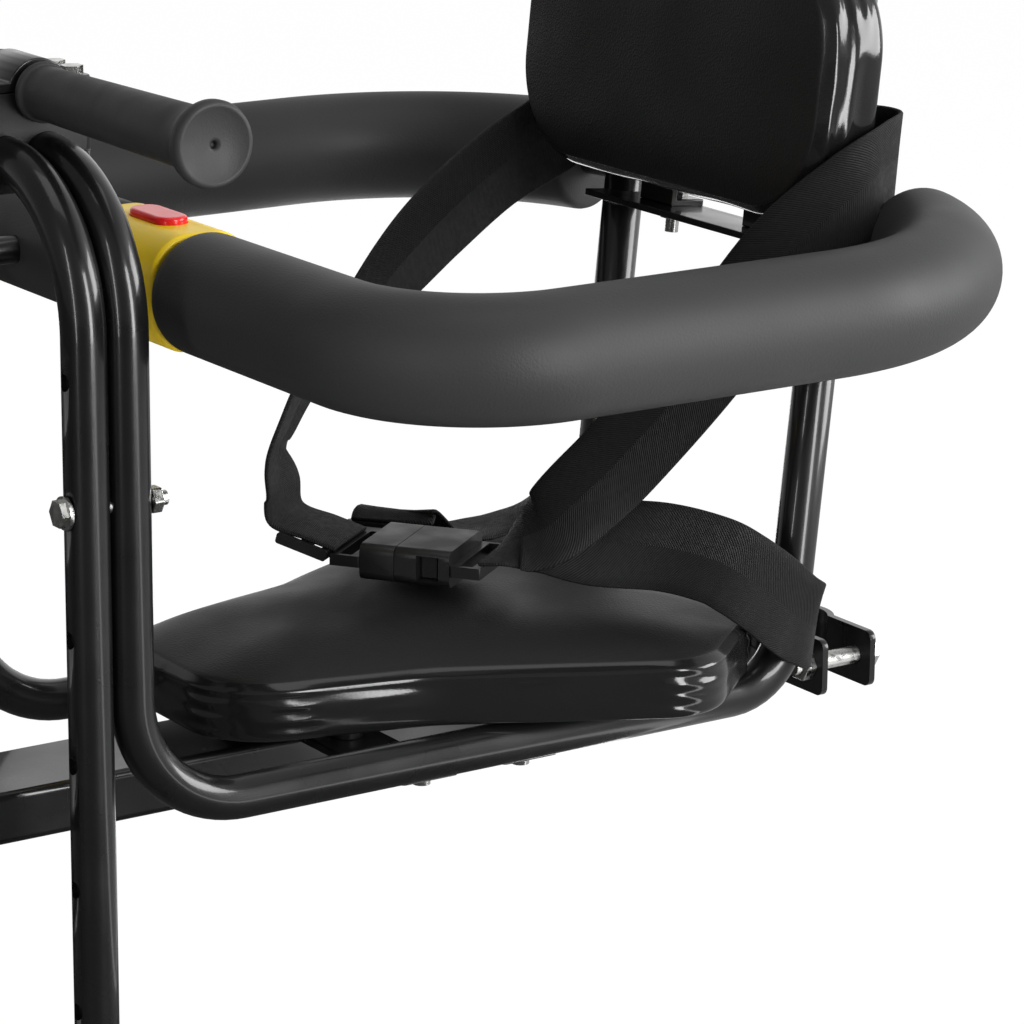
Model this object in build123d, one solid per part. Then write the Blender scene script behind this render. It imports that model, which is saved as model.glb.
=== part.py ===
from build123d import *
import os
from math import cos, degrees, radians, sin, tan

# Child seat for the front of a bicycle: a bent tube frame on a spine between head tube and seat post,
# with a padded seat and backrest, a foam guard ring with a gate, a small handlebar and a footrest leg.
# Millimetres. The origin is on the seat post's axis, -Y is forward, +X the child's left and +Z up.

# Frame tube
TUBE_D = 18.0
TUBE_WALL = 1.5
POST_X = 75.5
FRONT_Y = -386.0
REAR_Y = -65.0
RAIL_Z = 10.0
ARCH_Z = 267.0
REAR_TOP_Z = 312.0
REAR_LEAN = 6.0
ARCH_R = 60.0
FRONT_BEND_R = 50.0
REAR_BEND_R = 30.0
PLUG_LENGTH = 14.0
PLUG_LIP = 2.5

# Clearances
SEAT_GAP = 0.3
FIT_GAP = 0.1
HOLE_GAP = 0.3
PIVOT_GAP = 0.06

# Footrest leg
LEG_BOLT_Z = 139.5
LEG_HOLE_PITCH = 51.5
LEG_HOLE_D = 7.0
LEG_BOLT_FLANGE_D = 13.5
LEG_HOLES_ABOVE = 1
LEG_HOLES_BELOW = 5
LEG_BOTTOM_Z = -190.0
LEG_BEND_R = 28.0
PEG_END_X = 196.0
FOOT_D = 30.0
FOOT_LENGTH = 92.0
FOOT_END_WALL = 4.0
FOOT_RIB_PITCH = 11.0
FOOT_RIB_WIDTH = 5.0
FOOT_RIB_DEPTH = 2.0

# Spine beam and slide bar
BEAM_W = 51.0
BEAM_H = 22.0
BEAM_WALL = 2.0
BEAM_EDGE_R = 3.0
BEAM_FRONT_Y = -474.0
BEAM_REAR_Y = -58.0
BAR_W = 44.0
BAR_T = 8.0
BAR_FRONT_Y = -238.0
NECK_IN_BEAM = 60.0
BEAM_BOLT_YS = (-202.0, -150.0)
SLOT_SPARE = 24.0
GRIP_PLATE_W = 40.0
GRIP_PLATE_L = 30.0
GRIP_PLATE_T = 12.0
GRIP_PLATE_LEAD = 8.0

# Clamps for the seat post and the head tube
SEAT_POST_R = 15.9
HEAD_TUBE_R = 17.0
HEAD_REACH = 46.0
JAW_T = 3.0
JAW_H = 26.0
JAW_GAP = 24.0
JAW_X = 42.0
JAW_BOLT_X = 31.0
JAW_CORNER_R = 4.0

# Seat
SEAT_NOSE_Y = -329.0
SEAT_NOSE_HALF = 46.0
SEAT_NOSE_R = 36.0
SEAT_WAIST_Y = -240.0
SEAT_WAIST_HALF = 68.0
SEAT_WAIST_R = 90.0
SEAT_HIP_Y = -135.0
SEAT_HIP_HALF = 121.0
SEAT_HIP_R = 30.0
SEAT_REAR_Y = -83.0
SEAT_REAR_HALF = 76.0
SEAT_REAR_R = 16.0
SEAT_EDGE_Z = 42.0
SEAT_TOP_Z = 57.0
SEAT_CROWN = ((1.0, 0.0), (0.975, 0.32), (0.89, 0.62), (0.64, 0.9), (0.25, 1.0))
SEAT_LIFT = 1.6
SEAT_MID_Y = -185.0
BOARD_T = 6.0
BOARD_INSET = 5.0
CROSS_BAR_YS = (-268.0, -128.0)
CROSS_BAR_W = 30.0
CROSS_BAR_T = 4.0
SEAT_SCREW_X = 45.0
SPACER_D = 14.0

# Backrest
BACK_W = 218.0
BACK_H = 112.0
BACK_T = 34.0
BACK_CORNER_R = 44.0
BACK_EDGE_R = 10.0
BACK_MID_Z = 273.0
BACK_BAR_W = 30.0
BACK_BAR_T = 3.0
BACK_BAR_DROP = 14.0
BRACKET_X = 38.0
BRACKET_W = 24.0
BRACKET_RISE = 62.0
BRACKET_SCREW_RISES = (30.0, 50.0)

# Guard ring
RING_X = 205.0
RING_Z = 210.0
RING_FRONT_Y = -331.0
RING_REAR_Y = -29.0
RING_FRONT_R = 60.0
RING_REAR_R = 116.0
RING_TUBE_D = 16.0
FOAM_D = 50.0
PIVOT_X = 88.0
EYE_R = 9.0
FOAM_END_SETBACK = 30.0
CLEVIS_T = 3.0
CLEVIS_GAP = 0.4
STAY_D = 12.0

# Gate lock
LOCK_MID_X = 4.0
LOCK_L = 70.0
LOCK_W = 46.0
LOCK_H = 48.0
LOCK_SIDE_R = 17.0
LOCK_EDGE_R = 2.0
TUBE_IN_LOCK = 26.0
TONGUE_L = 14.0
TONGUE_W = 10.0
TONGUE_H = 16.0
SOCKET_SIDE = 4.5
PLUG_IN_TUBE = 22.0
GATE_GAP = 0.6
BUTTON_L = 33.0
BUTTON_W = 14.0
BUTTON_PROUD = 3.0
BUTTON_DEPTH = 6.0
BUTTON_TRAVEL = 3.0
SPRING_ROOM = 4.0
SPRING_T = 0.6
SPRING_W = 8.0
SPRING_SPAN = 26.0
LOCK_BRACKET_W = 22.0
LOCK_BRACKET_T = 4.0
LOCK_BRACKET_DROP = 5.0

# Handlebar
BAR_Z = 292.5
BAR_LEAD = 3.0
BAR_END_X = 148.0
GRIP_START_X = 16.0
GRIP_END_X = 152.0
GRIP_INNER_D = 21.5
GRIP_OUTER_D = 25.0
GRIP_FLANGE_D = 33.0
GRIP_FLANGE_T = 6.0
GRIP_COLLAR_D = 24.0
GRIP_COLLAR_T = 4.0
GRIP_HOLE_D = 3.0
CLAMP_HALF_X = 13.5
CLAMP_BOLT_X = 7.5
CLAMP_FLANGE = 12.0
CLAMP_CAP_T = 4.0
STRAP_PLATE_T = 5.0

# Harness
WEB_W = 38.0
WEB_T = 1.8
BUCKLE_MID = (-10.5, -200.7, 70.0)
BUCKLE_TURN = 37.0
BUCKLE_W = 42.0
BUCKLE_T = 16.0
SOCKET_L = 25.0
PLUG_L = 30.0
BUCKLE_WALL = 2.5
WINDOW_START_X = 10.0
WINDOW_END_X = 20.0
PRONG_REACH = 17.5
SLOT_BAR = 4.0
SLOT_L = 6.0
SLOT_CORNER_R = 1.0
ADJUSTER_X = -42.0
ADJUSTER_TILT = 16.0
ADJUSTER_T = 5.0
SIDE_LOOP_X = -21.5

# Strap runs: points on the centre line and the direction of the width, from the posts to the buckle
SHOULDER_BACK = ((0.1, 230.0), (30.0, 230.0), (56.0, 238.0), (80.0, 250.0))
SHOULDER_LEFT_RUN = (
    ((99.0, -29.0, 256.0), (0.0, 0.1, 1.0)),
    ((111.0, -44.0, 256.0), (0.0, 0.0, 1.0)),
    ((117.0, -63.0, 246.0), (-0.2, -0.2, 1.0)),
    ((104.0, -91.0, 212.0), (-0.45, -0.45, 0.75)),
    ((73.5, -110.0, 157.7), (-0.56, -0.57, 0.6)),
    ((51.5, -135.0, 118.5), (-0.56, -0.57, 0.6)),
    ((44.0, -146.6, 99.5), (-0.56, -0.5, 0.65)),
)
SHOULDER_RIGHT_RUN = (
    ((-102.0, -40.0, 244.0), (-0.2, 0.0, 1.0)),
    ((-111.0, -58.0, 226.0), (-0.25, -0.3, 0.92)),
    ((-102.0, -95.0, 214.0), (0.0, -0.55, 0.83)),
    ((-85.0, -138.0, 197.0), (0.1, -0.7, 0.7)),
    ((-72.0, -175.0, 176.0), (0.3, -0.8, 0.5)),
    ((-64.0, -214.0, 145.0), (0.65, -0.7, 0.3)),
    ((-57.5, -235.0, 121.0), (0.72, -0.66, 0.2)),
    ((-58.5, -240.0, 107.0), (0.72, -0.66, 0.1)),
    ((-58.6, -236.9, 94.0), (0.6, -0.8, 0.0)),
)
HIP_LEFT_RUN = (
    ((68.0, -51.5, 36.0), (0.0, 0.1, 1.0)),
    ((76.5, -50.3, 37.0), (0.0, 0.1, 1.0)),
    ((87.2, -56.5, 39.0), (0.0, 0.15, 1.0)),
    ((89.0, -68.0, 46.0), (0.0, 0.1, 1.0)),
    ((88.5, -82.0, 58.0), (0.0, 0.1, 1.0)),
    ((86.5, -96.0, 68.5), (0.0, 0.25, 0.95)),
    ((81.0, -106.5, 75.0), (0.0, 0.4, 0.9)),
    ((67.0, -124.0, 80.0), (0.0, 0.45, 0.88)),
    ((54.0, -139.0, 84.0), (-0.2, 0.5, 0.8)),
    ((36.0, -153.0, 81.0), (-0.7, 0.45, 0.35)),
    ((27.9, -171.9, 77.0), (-0.6, 0.8, 0.0)),
)
HIP_RIGHT_RUN = (
    ((-65.3, -56.0, 45.0), (0.0, 0.0, 1.0)),
    ((-64.3, -70.0, 56.0), (0.0, 0.0, 1.0)),
    ((-62.0, -90.0, 74.0), (0.5, 0.0, 0.85)),
    ((-60.0, -122.0, 61.5), (1.0, 0.0, 0.15)),
    ((-55.0, -155.0, 62.0), (1.0, 0.2, 0.05)),
    ((-54.1, -178.4, 75.5), (0.8, 0.6, 0.0)),
)

# Metric fasteners: thread, head across flats and head height, and what shows of a thread past its nut
M5 = (5.0, 8.0, 3.5)
M6 = (6.0, 10.0, 4.5)
M8 = (8.0, 13.0, 5.5)
THREAD_PROUD = 3.0
SCREW_SHORT = 1.0

tube_r = TUBE_D / 2
ring_tube_r = RING_TUBE_D / 2
leg_y = FRONT_Y - TUBE_D - SEAT_GAP
head_y = BEAM_FRONT_Y - HEAD_REACH
handlebar_y = FRONT_Y - BAR_LEAD
lean_tan = tan(radians(REAR_LEAN))


def rear_post_y(z):
    """Y of a rear post's axis at height z."""
    return REAR_Y + (z - RAIL_Z) * lean_tan


def lean_plane(z):
    """A plane on the rear posts' centre line, with its Z along the posts and its Y to the rear."""
    up = Vector(0, sin(radians(REAR_LEAN)), cos(radians(REAR_LEAN)))
    return Plane(origin=(0, rear_post_y(z), z), x_dir=(1, 0, 0), z_dir=up)


def tube(path, outer_d, wall):
    """A round tube along a path."""
    start = Plane(origin=path @ 0, z_dir=path % 0)
    return sweep(start * (Circle(outer_d / 2) - Circle(outer_d / 2 - wall)), path=path)


def along(axis):
    """The turn that lays a Z axis along X or Y."""
    return {"x": Rot(0, 90, 0), "y": Rot(-90, 0, 0)}[axis]


def hexagon(across_flats, height):
    """A hexagonal prism from z = 0 upwards."""
    return extrude(RegularPolygon(across_flats / 2, 6, major_radius=False), amount=height)


def bolt(size, length, flange=0.0):
    """A hexagon bolt with its head above z = 0 and its shank below."""
    thread, flats, head = size
    shape = hexagon(flats, head) + Pos(0, 0, -length / 2) * Cylinder(thread / 2, length)
    if flange:
        shape += Pos(0, 0, thread / 8) * Cylinder(flange / 2, thread / 4)
    return shape


def nut(size):
    """A hexagon nut from z = 0 upwards."""
    thread, flats, head = size
    return hexagon(flats, head) - Pos(0, 0, head / 2) * Cylinder(thread / 2 + FIT_GAP, head)


def group(solids):
    """Separate solids that share one node."""
    return Compound(children=list(solids))


def both_sides(solid):
    """A solid and its mirror image on the child's right."""
    return [solid, mirror(solid, about=Plane.YZ)]


def box(x_span, y_span, z_span):
    """A box between pairs of coordinates."""
    lows, highs = zip(x_span, y_span, z_span)
    size = [high - low for low, high in zip(lows, highs)]
    return Pos(*[(low + high) / 2 for low, high in zip(lows, highs)]) * Box(*size)


# Main frame
def frame_tube():
    left = [
        (POST_X, rear_post_y(REAR_TOP_Z), REAR_TOP_Z),
        (POST_X, REAR_Y, RAIL_Z),
        (POST_X, FRONT_Y, RAIL_Z),
        (POST_X, FRONT_Y, ARCH_Z),
    ]
    right = [(-x, y, z) for x, y, z in reversed(left)]
    bends = [REAR_BEND_R, FRONT_BEND_R, ARCH_R]
    path = FilletPolyline(*left, *right, radius=bends + bends[::-1])
    shape = tube(path, TUBE_D, TUBE_WALL)
    for x in (POST_X, -POST_X):
        hole = Pos(x, FRONT_Y, LEG_BOLT_Z) * along("y") * Cylinder(M6[0] / 2 + HOLE_GAP, TUBE_D * 2)
        shape -= hole
    return shape


def post_plugs():
    place = lean_plane(REAR_TOP_Z)
    stem = Pos(POST_X, 0, -PLUG_LENGTH / 2) * Cylinder(tube_r - TUBE_WALL - FIT_GAP, PLUG_LENGTH)
    lip = Pos(POST_X, 0, PLUG_LIP / 2) * Cylinder(tube_r, PLUG_LIP)
    return group(both_sides(place.location * (stem + lip)))


# Footrest leg
def leg_tube():
    left = [(PEG_END_X, leg_y, LEG_BOTTOM_Z), (POST_X, leg_y, LEG_BOTTOM_Z), (POST_X, leg_y, ARCH_Z)]
    right = [(-x, y, z) for x, y, z in reversed(left)]
    path = FilletPolyline(*left, *right, radius=[LEG_BEND_R, ARCH_R, ARCH_R, LEG_BEND_R])
    shape = tube(path, TUBE_D, TUBE_WALL)
    for x in (POST_X, -POST_X):
        for step in range(-LEG_HOLES_ABOVE, LEG_HOLES_BELOW + 1):
            z = LEG_BOLT_Z - step * LEG_HOLE_PITCH
            shape -= Pos(x, leg_y, z) * along("y") * Cylinder(LEG_HOLE_D / 2, TUBE_D + 2 * FIT_GAP)
    return shape


leg_bolt_length = 2 * TUBE_D + SEAT_GAP + M6[2] + THREAD_PROUD


def leg_bolts():
    one = Pos(POST_X, leg_y - tube_r, LEG_BOLT_Z) * Rot(90, 0, 0) * bolt(M6, leg_bolt_length, LEG_BOLT_FLANGE_D)
    return group(both_sides(one))


def leg_nuts():
    one = Pos(POST_X, FRONT_Y + tube_r, LEG_BOLT_Z) * along("y") * nut(M6)
    return group(both_sides(one))


def foot_sleeve():
    """A ribbed rubber sleeve over the left peg, closed at its outer end."""
    profile = Rectangle(FOOT_LENGTH, FOOT_D / 2, align=(Align.MAX, Align.MIN))
    count = int(FOOT_LENGTH // FOOT_RIB_PITCH)
    for step in range(1, count):
        groove = Rectangle(FOOT_RIB_WIDTH, FOOT_RIB_DEPTH, align=(Align.CENTER, Align.MAX))
        profile -= Pos(-step * FOOT_RIB_PITCH, FOOT_D / 2) * groove
    shape = revolve(profile, Axis.X)
    bore = FOOT_LENGTH - FOOT_END_WALL
    hollow = Pos(-FOOT_END_WALL - bore / 2, 0, 0) * along("x") * Cylinder(tube_r + FIT_GAP, bore)
    return Pos(PEG_END_X + FOOT_END_WALL + FIT_GAP, leg_y, LEG_BOTTOM_Z) * (shape - hollow)


# Spine
bar_low = -BEAM_H / 2 + BEAM_WALL
bar_mid_z = bar_low + BAR_T / 2
slot_w = M8[0] + 2 * HOLE_GAP


def spine_beam():
    length = BEAM_REAR_Y - BEAM_FRONT_Y
    outer = fillet(Box(BEAM_W, length, BEAM_H).edges().filter_by(Axis.Y), BEAM_EDGE_R)
    inner = Box(BEAM_W - 2 * BEAM_WALL, length, BEAM_H - 2 * BEAM_WALL)
    shape = Pos(0, (BEAM_REAR_Y + BEAM_FRONT_Y) / 2, 0) * (outer - inner)
    for y in BEAM_BOLT_YS:
        shape -= Pos(0, y, 0) * Cylinder(M8[0] / 2 + HOLE_GAP, BEAM_H * 2)
    return shape


def slide_bar():
    """The flat bar that carries the seat post clamp and slides in the spine for length."""
    rear_y = -SEAT_POST_R
    shape = box((-BAR_W / 2, BAR_W / 2), (BAR_FRONT_Y, rear_y), (bar_low, bar_low + BAR_T))
    shape -= Cylinder(SEAT_POST_R + JAW_T, BEAM_H * 2)
    slot_l = max(BEAM_BOLT_YS) - min(BEAM_BOLT_YS) + 2 * SLOT_SPARE
    slot = extrude(SlotOverall(slot_l, slot_w), amount=BEAM_H, both=True)
    return shape - Pos(0, sum(BEAM_BOLT_YS) / 2, 0) * Rot(0, 0, 90) * slot


def neck_bar():
    """The flat bar welded into the spine's front end, which carries the head tube clamp."""
    span = (head_y + HEAD_TUBE_R, BEAM_FRONT_Y + NECK_IN_BEAM)
    shape = box((-BAR_W / 2, BAR_W / 2), span, (bar_low, bar_low + BAR_T))
    return shape - Pos(0, head_y, 0) * Cylinder(HEAD_TUBE_R + JAW_T, BEAM_H * 2)


def beam_bolts():
    length = BEAM_H + GRIP_PLATE_T + M8[2] + THREAD_PROUD
    return group(Pos(0, y, BEAM_H / 2) * bolt(M8, length) for y in BEAM_BOLT_YS)


def grip_plates():
    """The thick washers under the spine, longer towards the front."""
    plates = []
    for y in BEAM_BOLT_YS:
        place = Pos(0, y - GRIP_PLATE_LEAD, -BEAM_H / 2 - GRIP_PLATE_T / 2)
        plate = Box(GRIP_PLATE_W, GRIP_PLATE_L, GRIP_PLATE_T)
        plate = place * fillet(plate.edges().filter_by(Axis.Z), BEAM_EDGE_R)
        plates.append(plate - Pos(0, y, 0) * Cylinder(M8[0] / 2 + HOLE_GAP, BEAM_H * 4))
    return group(plates)


def beam_nuts():
    z = -BEAM_H / 2 - GRIP_PLATE_T
    return group(Pos(0, y, z) * Rot(180, 0, 0) * nut(M8) for y in BEAM_BOLT_YS)


# Clamps
def jaw(post_r):
    """The rear half of a clamp: a steel strip bent round the post, with flat ears for the bolts."""
    ear_low = JAW_GAP / 2
    band = Circle(post_r + JAW_T) - Circle(post_r)
    behind = Pos(0, ear_low) * Rectangle(2 * JAW_X, JAW_X, align=(Align.CENTER, Align.MIN))
    ears = Pos(0, ear_low) * Rectangle(2 * JAW_X, JAW_T, align=(Align.CENTER, Align.MIN)) - Circle(post_r)
    shape = extrude((band & behind) + ears, amount=JAW_H / 2, both=True)
    tips = [e for e in shape.edges().filter_by(Axis.Y) if abs(e.center().X) > JAW_X - FIT_GAP]
    shape = fillet(tips, JAW_CORNER_R)
    for x in (JAW_BOLT_X, -JAW_BOLT_X):
        hole = Pos(x, ear_low, 0) * along("y") * Cylinder(M8[0] / 2 + HOLE_GAP, JAW_T * 4)
        shape -= hole
    return shape


half_turn = Rot(0, 0, 180)
head_place = Pos(0, head_y, 0)
jaw_face = JAW_GAP / 2 + JAW_T
jaw_bolt_length = 2 * jaw_face + M8[2] + THREAD_PROUD


def clamp_bolts():
    """Four alike: heads behind the seat post clamp and in front of the head tube clamp."""
    rear = [Pos(x, jaw_face, 0) * along("y") * bolt(M8, jaw_bolt_length) for x in (JAW_BOLT_X, -JAW_BOLT_X)]
    front = [head_place * half_turn * solid for solid in rear]
    return group(rear + front)


def clamp_nuts():
    rear = [Pos(x, -jaw_face, 0) * Rot(90, 0, 0) * nut(M8) for x in (JAW_BOLT_X, -JAW_BOLT_X)]
    front = [head_place * half_turn * solid for solid in rear]
    return group(rear + front)


# Seat
rail_top = RAIL_Z + tube_r
board_low = rail_top + SEAT_LIFT
cross_top = BEAM_H / 2 + CROSS_BAR_T
seat_screw_spots = [(x, y) for x in (SEAT_SCREW_X, -SEAT_SCREW_X) for y in CROSS_BAR_YS]


def seat_outline(size=1.0):
    """The saddle shape in plan, with a narrow round nose, a waist and wide hips, at a share of its size."""
    corners = [
        (SEAT_NOSE_HALF, SEAT_NOSE_Y),
        (SEAT_WAIST_HALF, SEAT_WAIST_Y),
        (SEAT_HIP_HALF, SEAT_HIP_Y),
        (SEAT_REAR_HALF, SEAT_REAR_Y),
    ]
    left = [(x * size, SEAT_MID_Y + (y - SEAT_MID_Y) * size) for x, y in corners]
    right = [(-x, y) for x, y in reversed(left)]
    bends = [size * radius for radius in (SEAT_NOSE_R, SEAT_WAIST_R, SEAT_HIP_R, SEAT_REAR_R)]
    return make_face(FilletPolyline(*left, *right, radius=bends + bends[::-1], close=True).edges())


def board_recess():
    """The plywood board's outline, extruded to its thickness."""
    return Pos(0, 0, board_low) * extrude(offset(seat_outline(), -BOARD_INSET), amount=BOARD_T)


def seat_board():
    hole = Cylinder(M5[0] / 2 + FIT_GAP, BOARD_T * 4)
    return board_recess() - group(Pos(x, y, board_low) * hole for x, y in seat_screw_spots)


def seat_pad():
    """Upright sides up to the edge, and a crowned top lofted through ever smaller outlines."""
    shape = Pos(0, 0, board_low) * extrude(seat_outline(), amount=SEAT_EDGE_Z - board_low)
    levels = [
        Pos(0, 0, SEAT_EDGE_Z + rise * (SEAT_TOP_Z - SEAT_EDGE_Z)) * seat_outline(size)
        for size, rise in SEAT_CROWN
    ]
    return shape + loft(levels, ruled=True) - board_recess()


def cross_bars():
    bars = []
    for y in CROSS_BAR_YS:
        span = (y - CROSS_BAR_W / 2, y + CROSS_BAR_W / 2)
        bar = box((-POST_X, POST_X), span, (BEAM_H / 2, cross_top))
        for side in (1, -1):
            bar -= Pos(side * POST_X, y, RAIL_Z) * along("y") * Cylinder(tube_r, CROSS_BAR_W * 2)
            hole = Cylinder(M5[0] / 2 + FIT_GAP, CROSS_BAR_T * 4)
            bar -= Pos(side * SEAT_SCREW_X, y, cross_top) * hole
        bars.append(bar)
    return group(bars)


def seat_screws():
    length = board_low + BOARD_T - BEAM_H / 2 - SCREW_SHORT
    one = Rot(180, 0, 0) * bolt(M5, length)
    return group(Pos(x, y, BEAM_H / 2) * one for x, y in seat_screw_spots)


def seat_spacers():
    height = board_low - cross_top
    one = Cylinder(SPACER_D / 2, height) - Cylinder(M5[0] / 2 + FIT_GAP, height)
    return group(Pos(x, y, cross_top + height / 2) * one for x, y in seat_screw_spots)


# Backrest, built in the plane of the leaning posts
back_place = lean_plane(BACK_MID_Z).location
back_rear = -tube_r - SEAT_GAP
back_low = -BACK_H / 2
back_bar_top = back_low - BACK_BAR_DROP
back_facing = Plane(origin=(0, back_rear, 0), x_dir=(1, 0, 0), z_dir=(0, -1, 0))
bracket_face = back_rear + BACK_BAR_T
bracket_bolt_y = bracket_face + BACK_BAR_W / 4


def backrest_pad():
    outline = RectangleRounded(BACK_W, BACK_H, BACK_CORNER_R)
    shape = extrude(back_facing * outline, amount=BACK_T)
    shape = fillet(shape.edges().group_by(Axis.Y)[0], BACK_EDGE_R)
    return back_place * (shape - extrude(back_facing * board_outline(), amount=BOARD_T))


def board_outline():
    return RectangleRounded(BACK_W - 2 * BOARD_INSET, BACK_H - 2 * BOARD_INSET, BACK_CORNER_R - BOARD_INSET)


def backrest_board():
    shape = extrude(back_facing * board_outline(), amount=BOARD_T)
    for place in bracket_screw_places():
        shape -= place * along("y") * Cylinder(M5[0] / 2 + FIT_GAP, BOARD_T * 4)
    return back_place * shape


def bracket_screw_places():
    return [
        Pos(x, back_rear, back_bar_top + rise)
        for x in (BRACKET_X, -BRACKET_X)
        for rise in BRACKET_SCREW_RISES
    ]


def back_bar():
    """The flat bar welded between the rear posts under the backrest."""
    y_span = (bracket_face - BACK_BAR_W / 2, bracket_face + BACK_BAR_W / 2)
    shape = box((-POST_X, POST_X), y_span, (back_bar_top - BACK_BAR_T, back_bar_top))
    for x in (POST_X, -POST_X):
        shape -= Pos(x, 0, back_bar_top) * Cylinder(tube_r, BACK_H)
    for x in (BRACKET_X, -BRACKET_X):
        shape -= Pos(x, bracket_bolt_y, back_bar_top) * Cylinder(M6[0] / 2 + HOLE_GAP, BACK_H / 2)
    return back_place * shape


def back_brackets():
    """Angle brackets from the bar up the back of the backrest board."""
    brackets = []
    for x in (BRACKET_X, -BRACKET_X):
        x_span = (x - BRACKET_W / 2, x + BRACKET_W / 2)
        upright = box(x_span, (back_rear, bracket_face), (back_bar_top, back_bar_top + BRACKET_RISE))
        foot_span = (bracket_face - BACK_BAR_T, bracket_face + BACK_BAR_W / 2)
        foot = box(x_span, foot_span, (back_bar_top, back_bar_top + BACK_BAR_T))
        shape = upright + foot
        shape -= Pos(x, bracket_bolt_y, back_bar_top) * Cylinder(M6[0] / 2 + HOLE_GAP, BACK_H / 2)
        for place in bracket_screw_places():
            shape -= place * along("y") * Cylinder(M5[0] / 2 + FIT_GAP, BOARD_T * 4)
        brackets.append(back_place * shape)
    return group(brackets)


def back_bolts():
    length = 2 * BACK_BAR_T + M6[2] + 2 * THREAD_PROUD
    z = back_bar_top + BACK_BAR_T
    return group(back_place * Pos(x, bracket_bolt_y, z) * bolt(M6, length) for x in (BRACKET_X, -BRACKET_X))


def back_nuts():
    z = back_bar_top - BACK_BAR_T
    one = Rot(180, 0, 0) * nut(M6)
    return group(back_place * Pos(x, bracket_bolt_y, z) * one for x in (BRACKET_X, -BRACKET_X))


def back_screws():
    length = BACK_BAR_T + BOARD_T - SCREW_SHORT
    one = Pos(0, BACK_BAR_T, 0) * along("y") * bolt(M5, length)
    return group(back_place * place * one for place in bracket_screw_places())


# Guard ring
lock_low_x = LOCK_MID_X - LOCK_L / 2
lock_high_x = LOCK_MID_X + LOCK_L / 2
gate_start_x = lock_high_x + GATE_GAP
foam_turn = 90.0 - degrees(FOAM_END_SETBACK / RING_REAR_R)


def ring_path(front_x, rear_turn):
    """The ring's centre line on the left, from the front run to an angle round the rear bend."""
    side_front = RING_FRONT_Y + RING_FRONT_R
    side_rear = RING_REAR_Y - RING_REAR_R
    front_run = Line((front_x, RING_FRONT_Y, RING_Z), (RING_X - RING_FRONT_R, RING_FRONT_Y, RING_Z))
    front_bend = CenterArc((RING_X - RING_FRONT_R, side_front, RING_Z), RING_FRONT_R, -90, 90)
    side_run = Line((RING_X, side_front, RING_Z), (RING_X, side_rear, RING_Z))
    rear_bend = CenterArc((RING_X - RING_REAR_R, side_rear, RING_Z), RING_REAR_R, 0, rear_turn)
    return Wire([front_run, front_bend, side_run, rear_bend])


def ring_tube(front_x):
    """A ring tube with a solid eye for the pivot bolt at its rear end."""
    pivot = Pos(PIVOT_X, RING_REAR_Y, RING_Z)
    shape = tube(ring_path(front_x, 90), RING_TUBE_D, TUBE_WALL) + pivot * Cylinder(EYE_R, RING_TUBE_D)
    return shape - pivot * Cylinder(M6[0] / 2 + PIVOT_GAP, RING_TUBE_D * 2)


def ring_foam(front_x):
    return tube(ring_path(front_x, foam_turn), FOAM_D, (FOAM_D - RING_TUBE_D) / 2 - FIT_GAP)


def fixed_tube():
    return mirror(ring_tube(-lock_low_x - TUBE_IN_LOCK), about=Plane.YZ)


def fixed_foam():
    """The fixed foam, with a hole for the stay to the right front post."""
    reach = 2 * (RING_FRONT_Y - FRONT_Y)
    hole = Pos(-POST_X, FRONT_Y, RING_Z) * along("y") * Cylinder(STAY_D / 2 + FIT_GAP, reach)
    return mirror(ring_foam(-lock_low_x), about=Plane.YZ) - hole


def gate_tube():
    return ring_tube(gate_start_x)


def gate_foam():
    return ring_foam(gate_start_x)


def gate_tongue():
    """The plug in the gate tube's front end, with the tongue that goes into the lock."""
    plug_r = ring_tube_r - TUBE_WALL - FIT_GAP
    shape = Pos(gate_start_x + PLUG_IN_TUBE / 2, 0, 0) * along("x") * Cylinder(plug_r, PLUG_IN_TUBE)
    tip_x = gate_start_x - GATE_GAP - TONGUE_L
    tongue = box((tip_x, gate_start_x), (-TONGUE_W / 2, TONGUE_W / 2), (-TONGUE_H / 2, TONGUE_H / 2))
    tongue = chamfer(tongue.edges().group_by(Axis.X)[0], TONGUE_W / 5)
    return Pos(0, RING_FRONT_Y, RING_Z) * (shape + tongue)


def ring_clevis():
    """Two ears on each rear post, above and below the ring tube's eye."""
    ears = []
    for level in (1, -1):
        z = RING_Z + level * (ring_tube_r + CLEVIS_GAP + CLEVIS_T / 2)
        y = rear_post_y(z)
        pivot = Pos(PIVOT_X, RING_REAR_Y)
        round_post = Pos(POST_X, y) * Circle(EYE_R / 2)
        outline = make_hull([*(pivot * Circle(EYE_R)).edges(), *round_post.edges()])
        outline -= pivot * Circle(M6[0] / 2 + FIT_GAP)
        ear = extrude(Pos(0, 0, z) * outline, amount=CLEVIS_T / 2, both=True)
        ears.append(ear - lean_plane(z).location * Pos(POST_X, 0, 0) * Cylinder(tube_r, TUBE_D))
    return ears


def clevis_left():
    return group(ring_clevis())


def clevis_right():
    return group(mirror(ear, about=Plane.YZ) for ear in ring_clevis())


clevis_top = ring_tube_r + CLEVIS_GAP + CLEVIS_T


def ring_bolts():
    one = Pos(PIVOT_X, RING_REAR_Y, RING_Z + clevis_top) * bolt(M6, 2 * clevis_top + M6[2] + THREAD_PROUD)
    return group(both_sides(one))


def ring_nuts():
    one = Pos(PIVOT_X, RING_REAR_Y, RING_Z - clevis_top) * Rot(180, 0, 0) * nut(M6)
    return group(both_sides(one))


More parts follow.
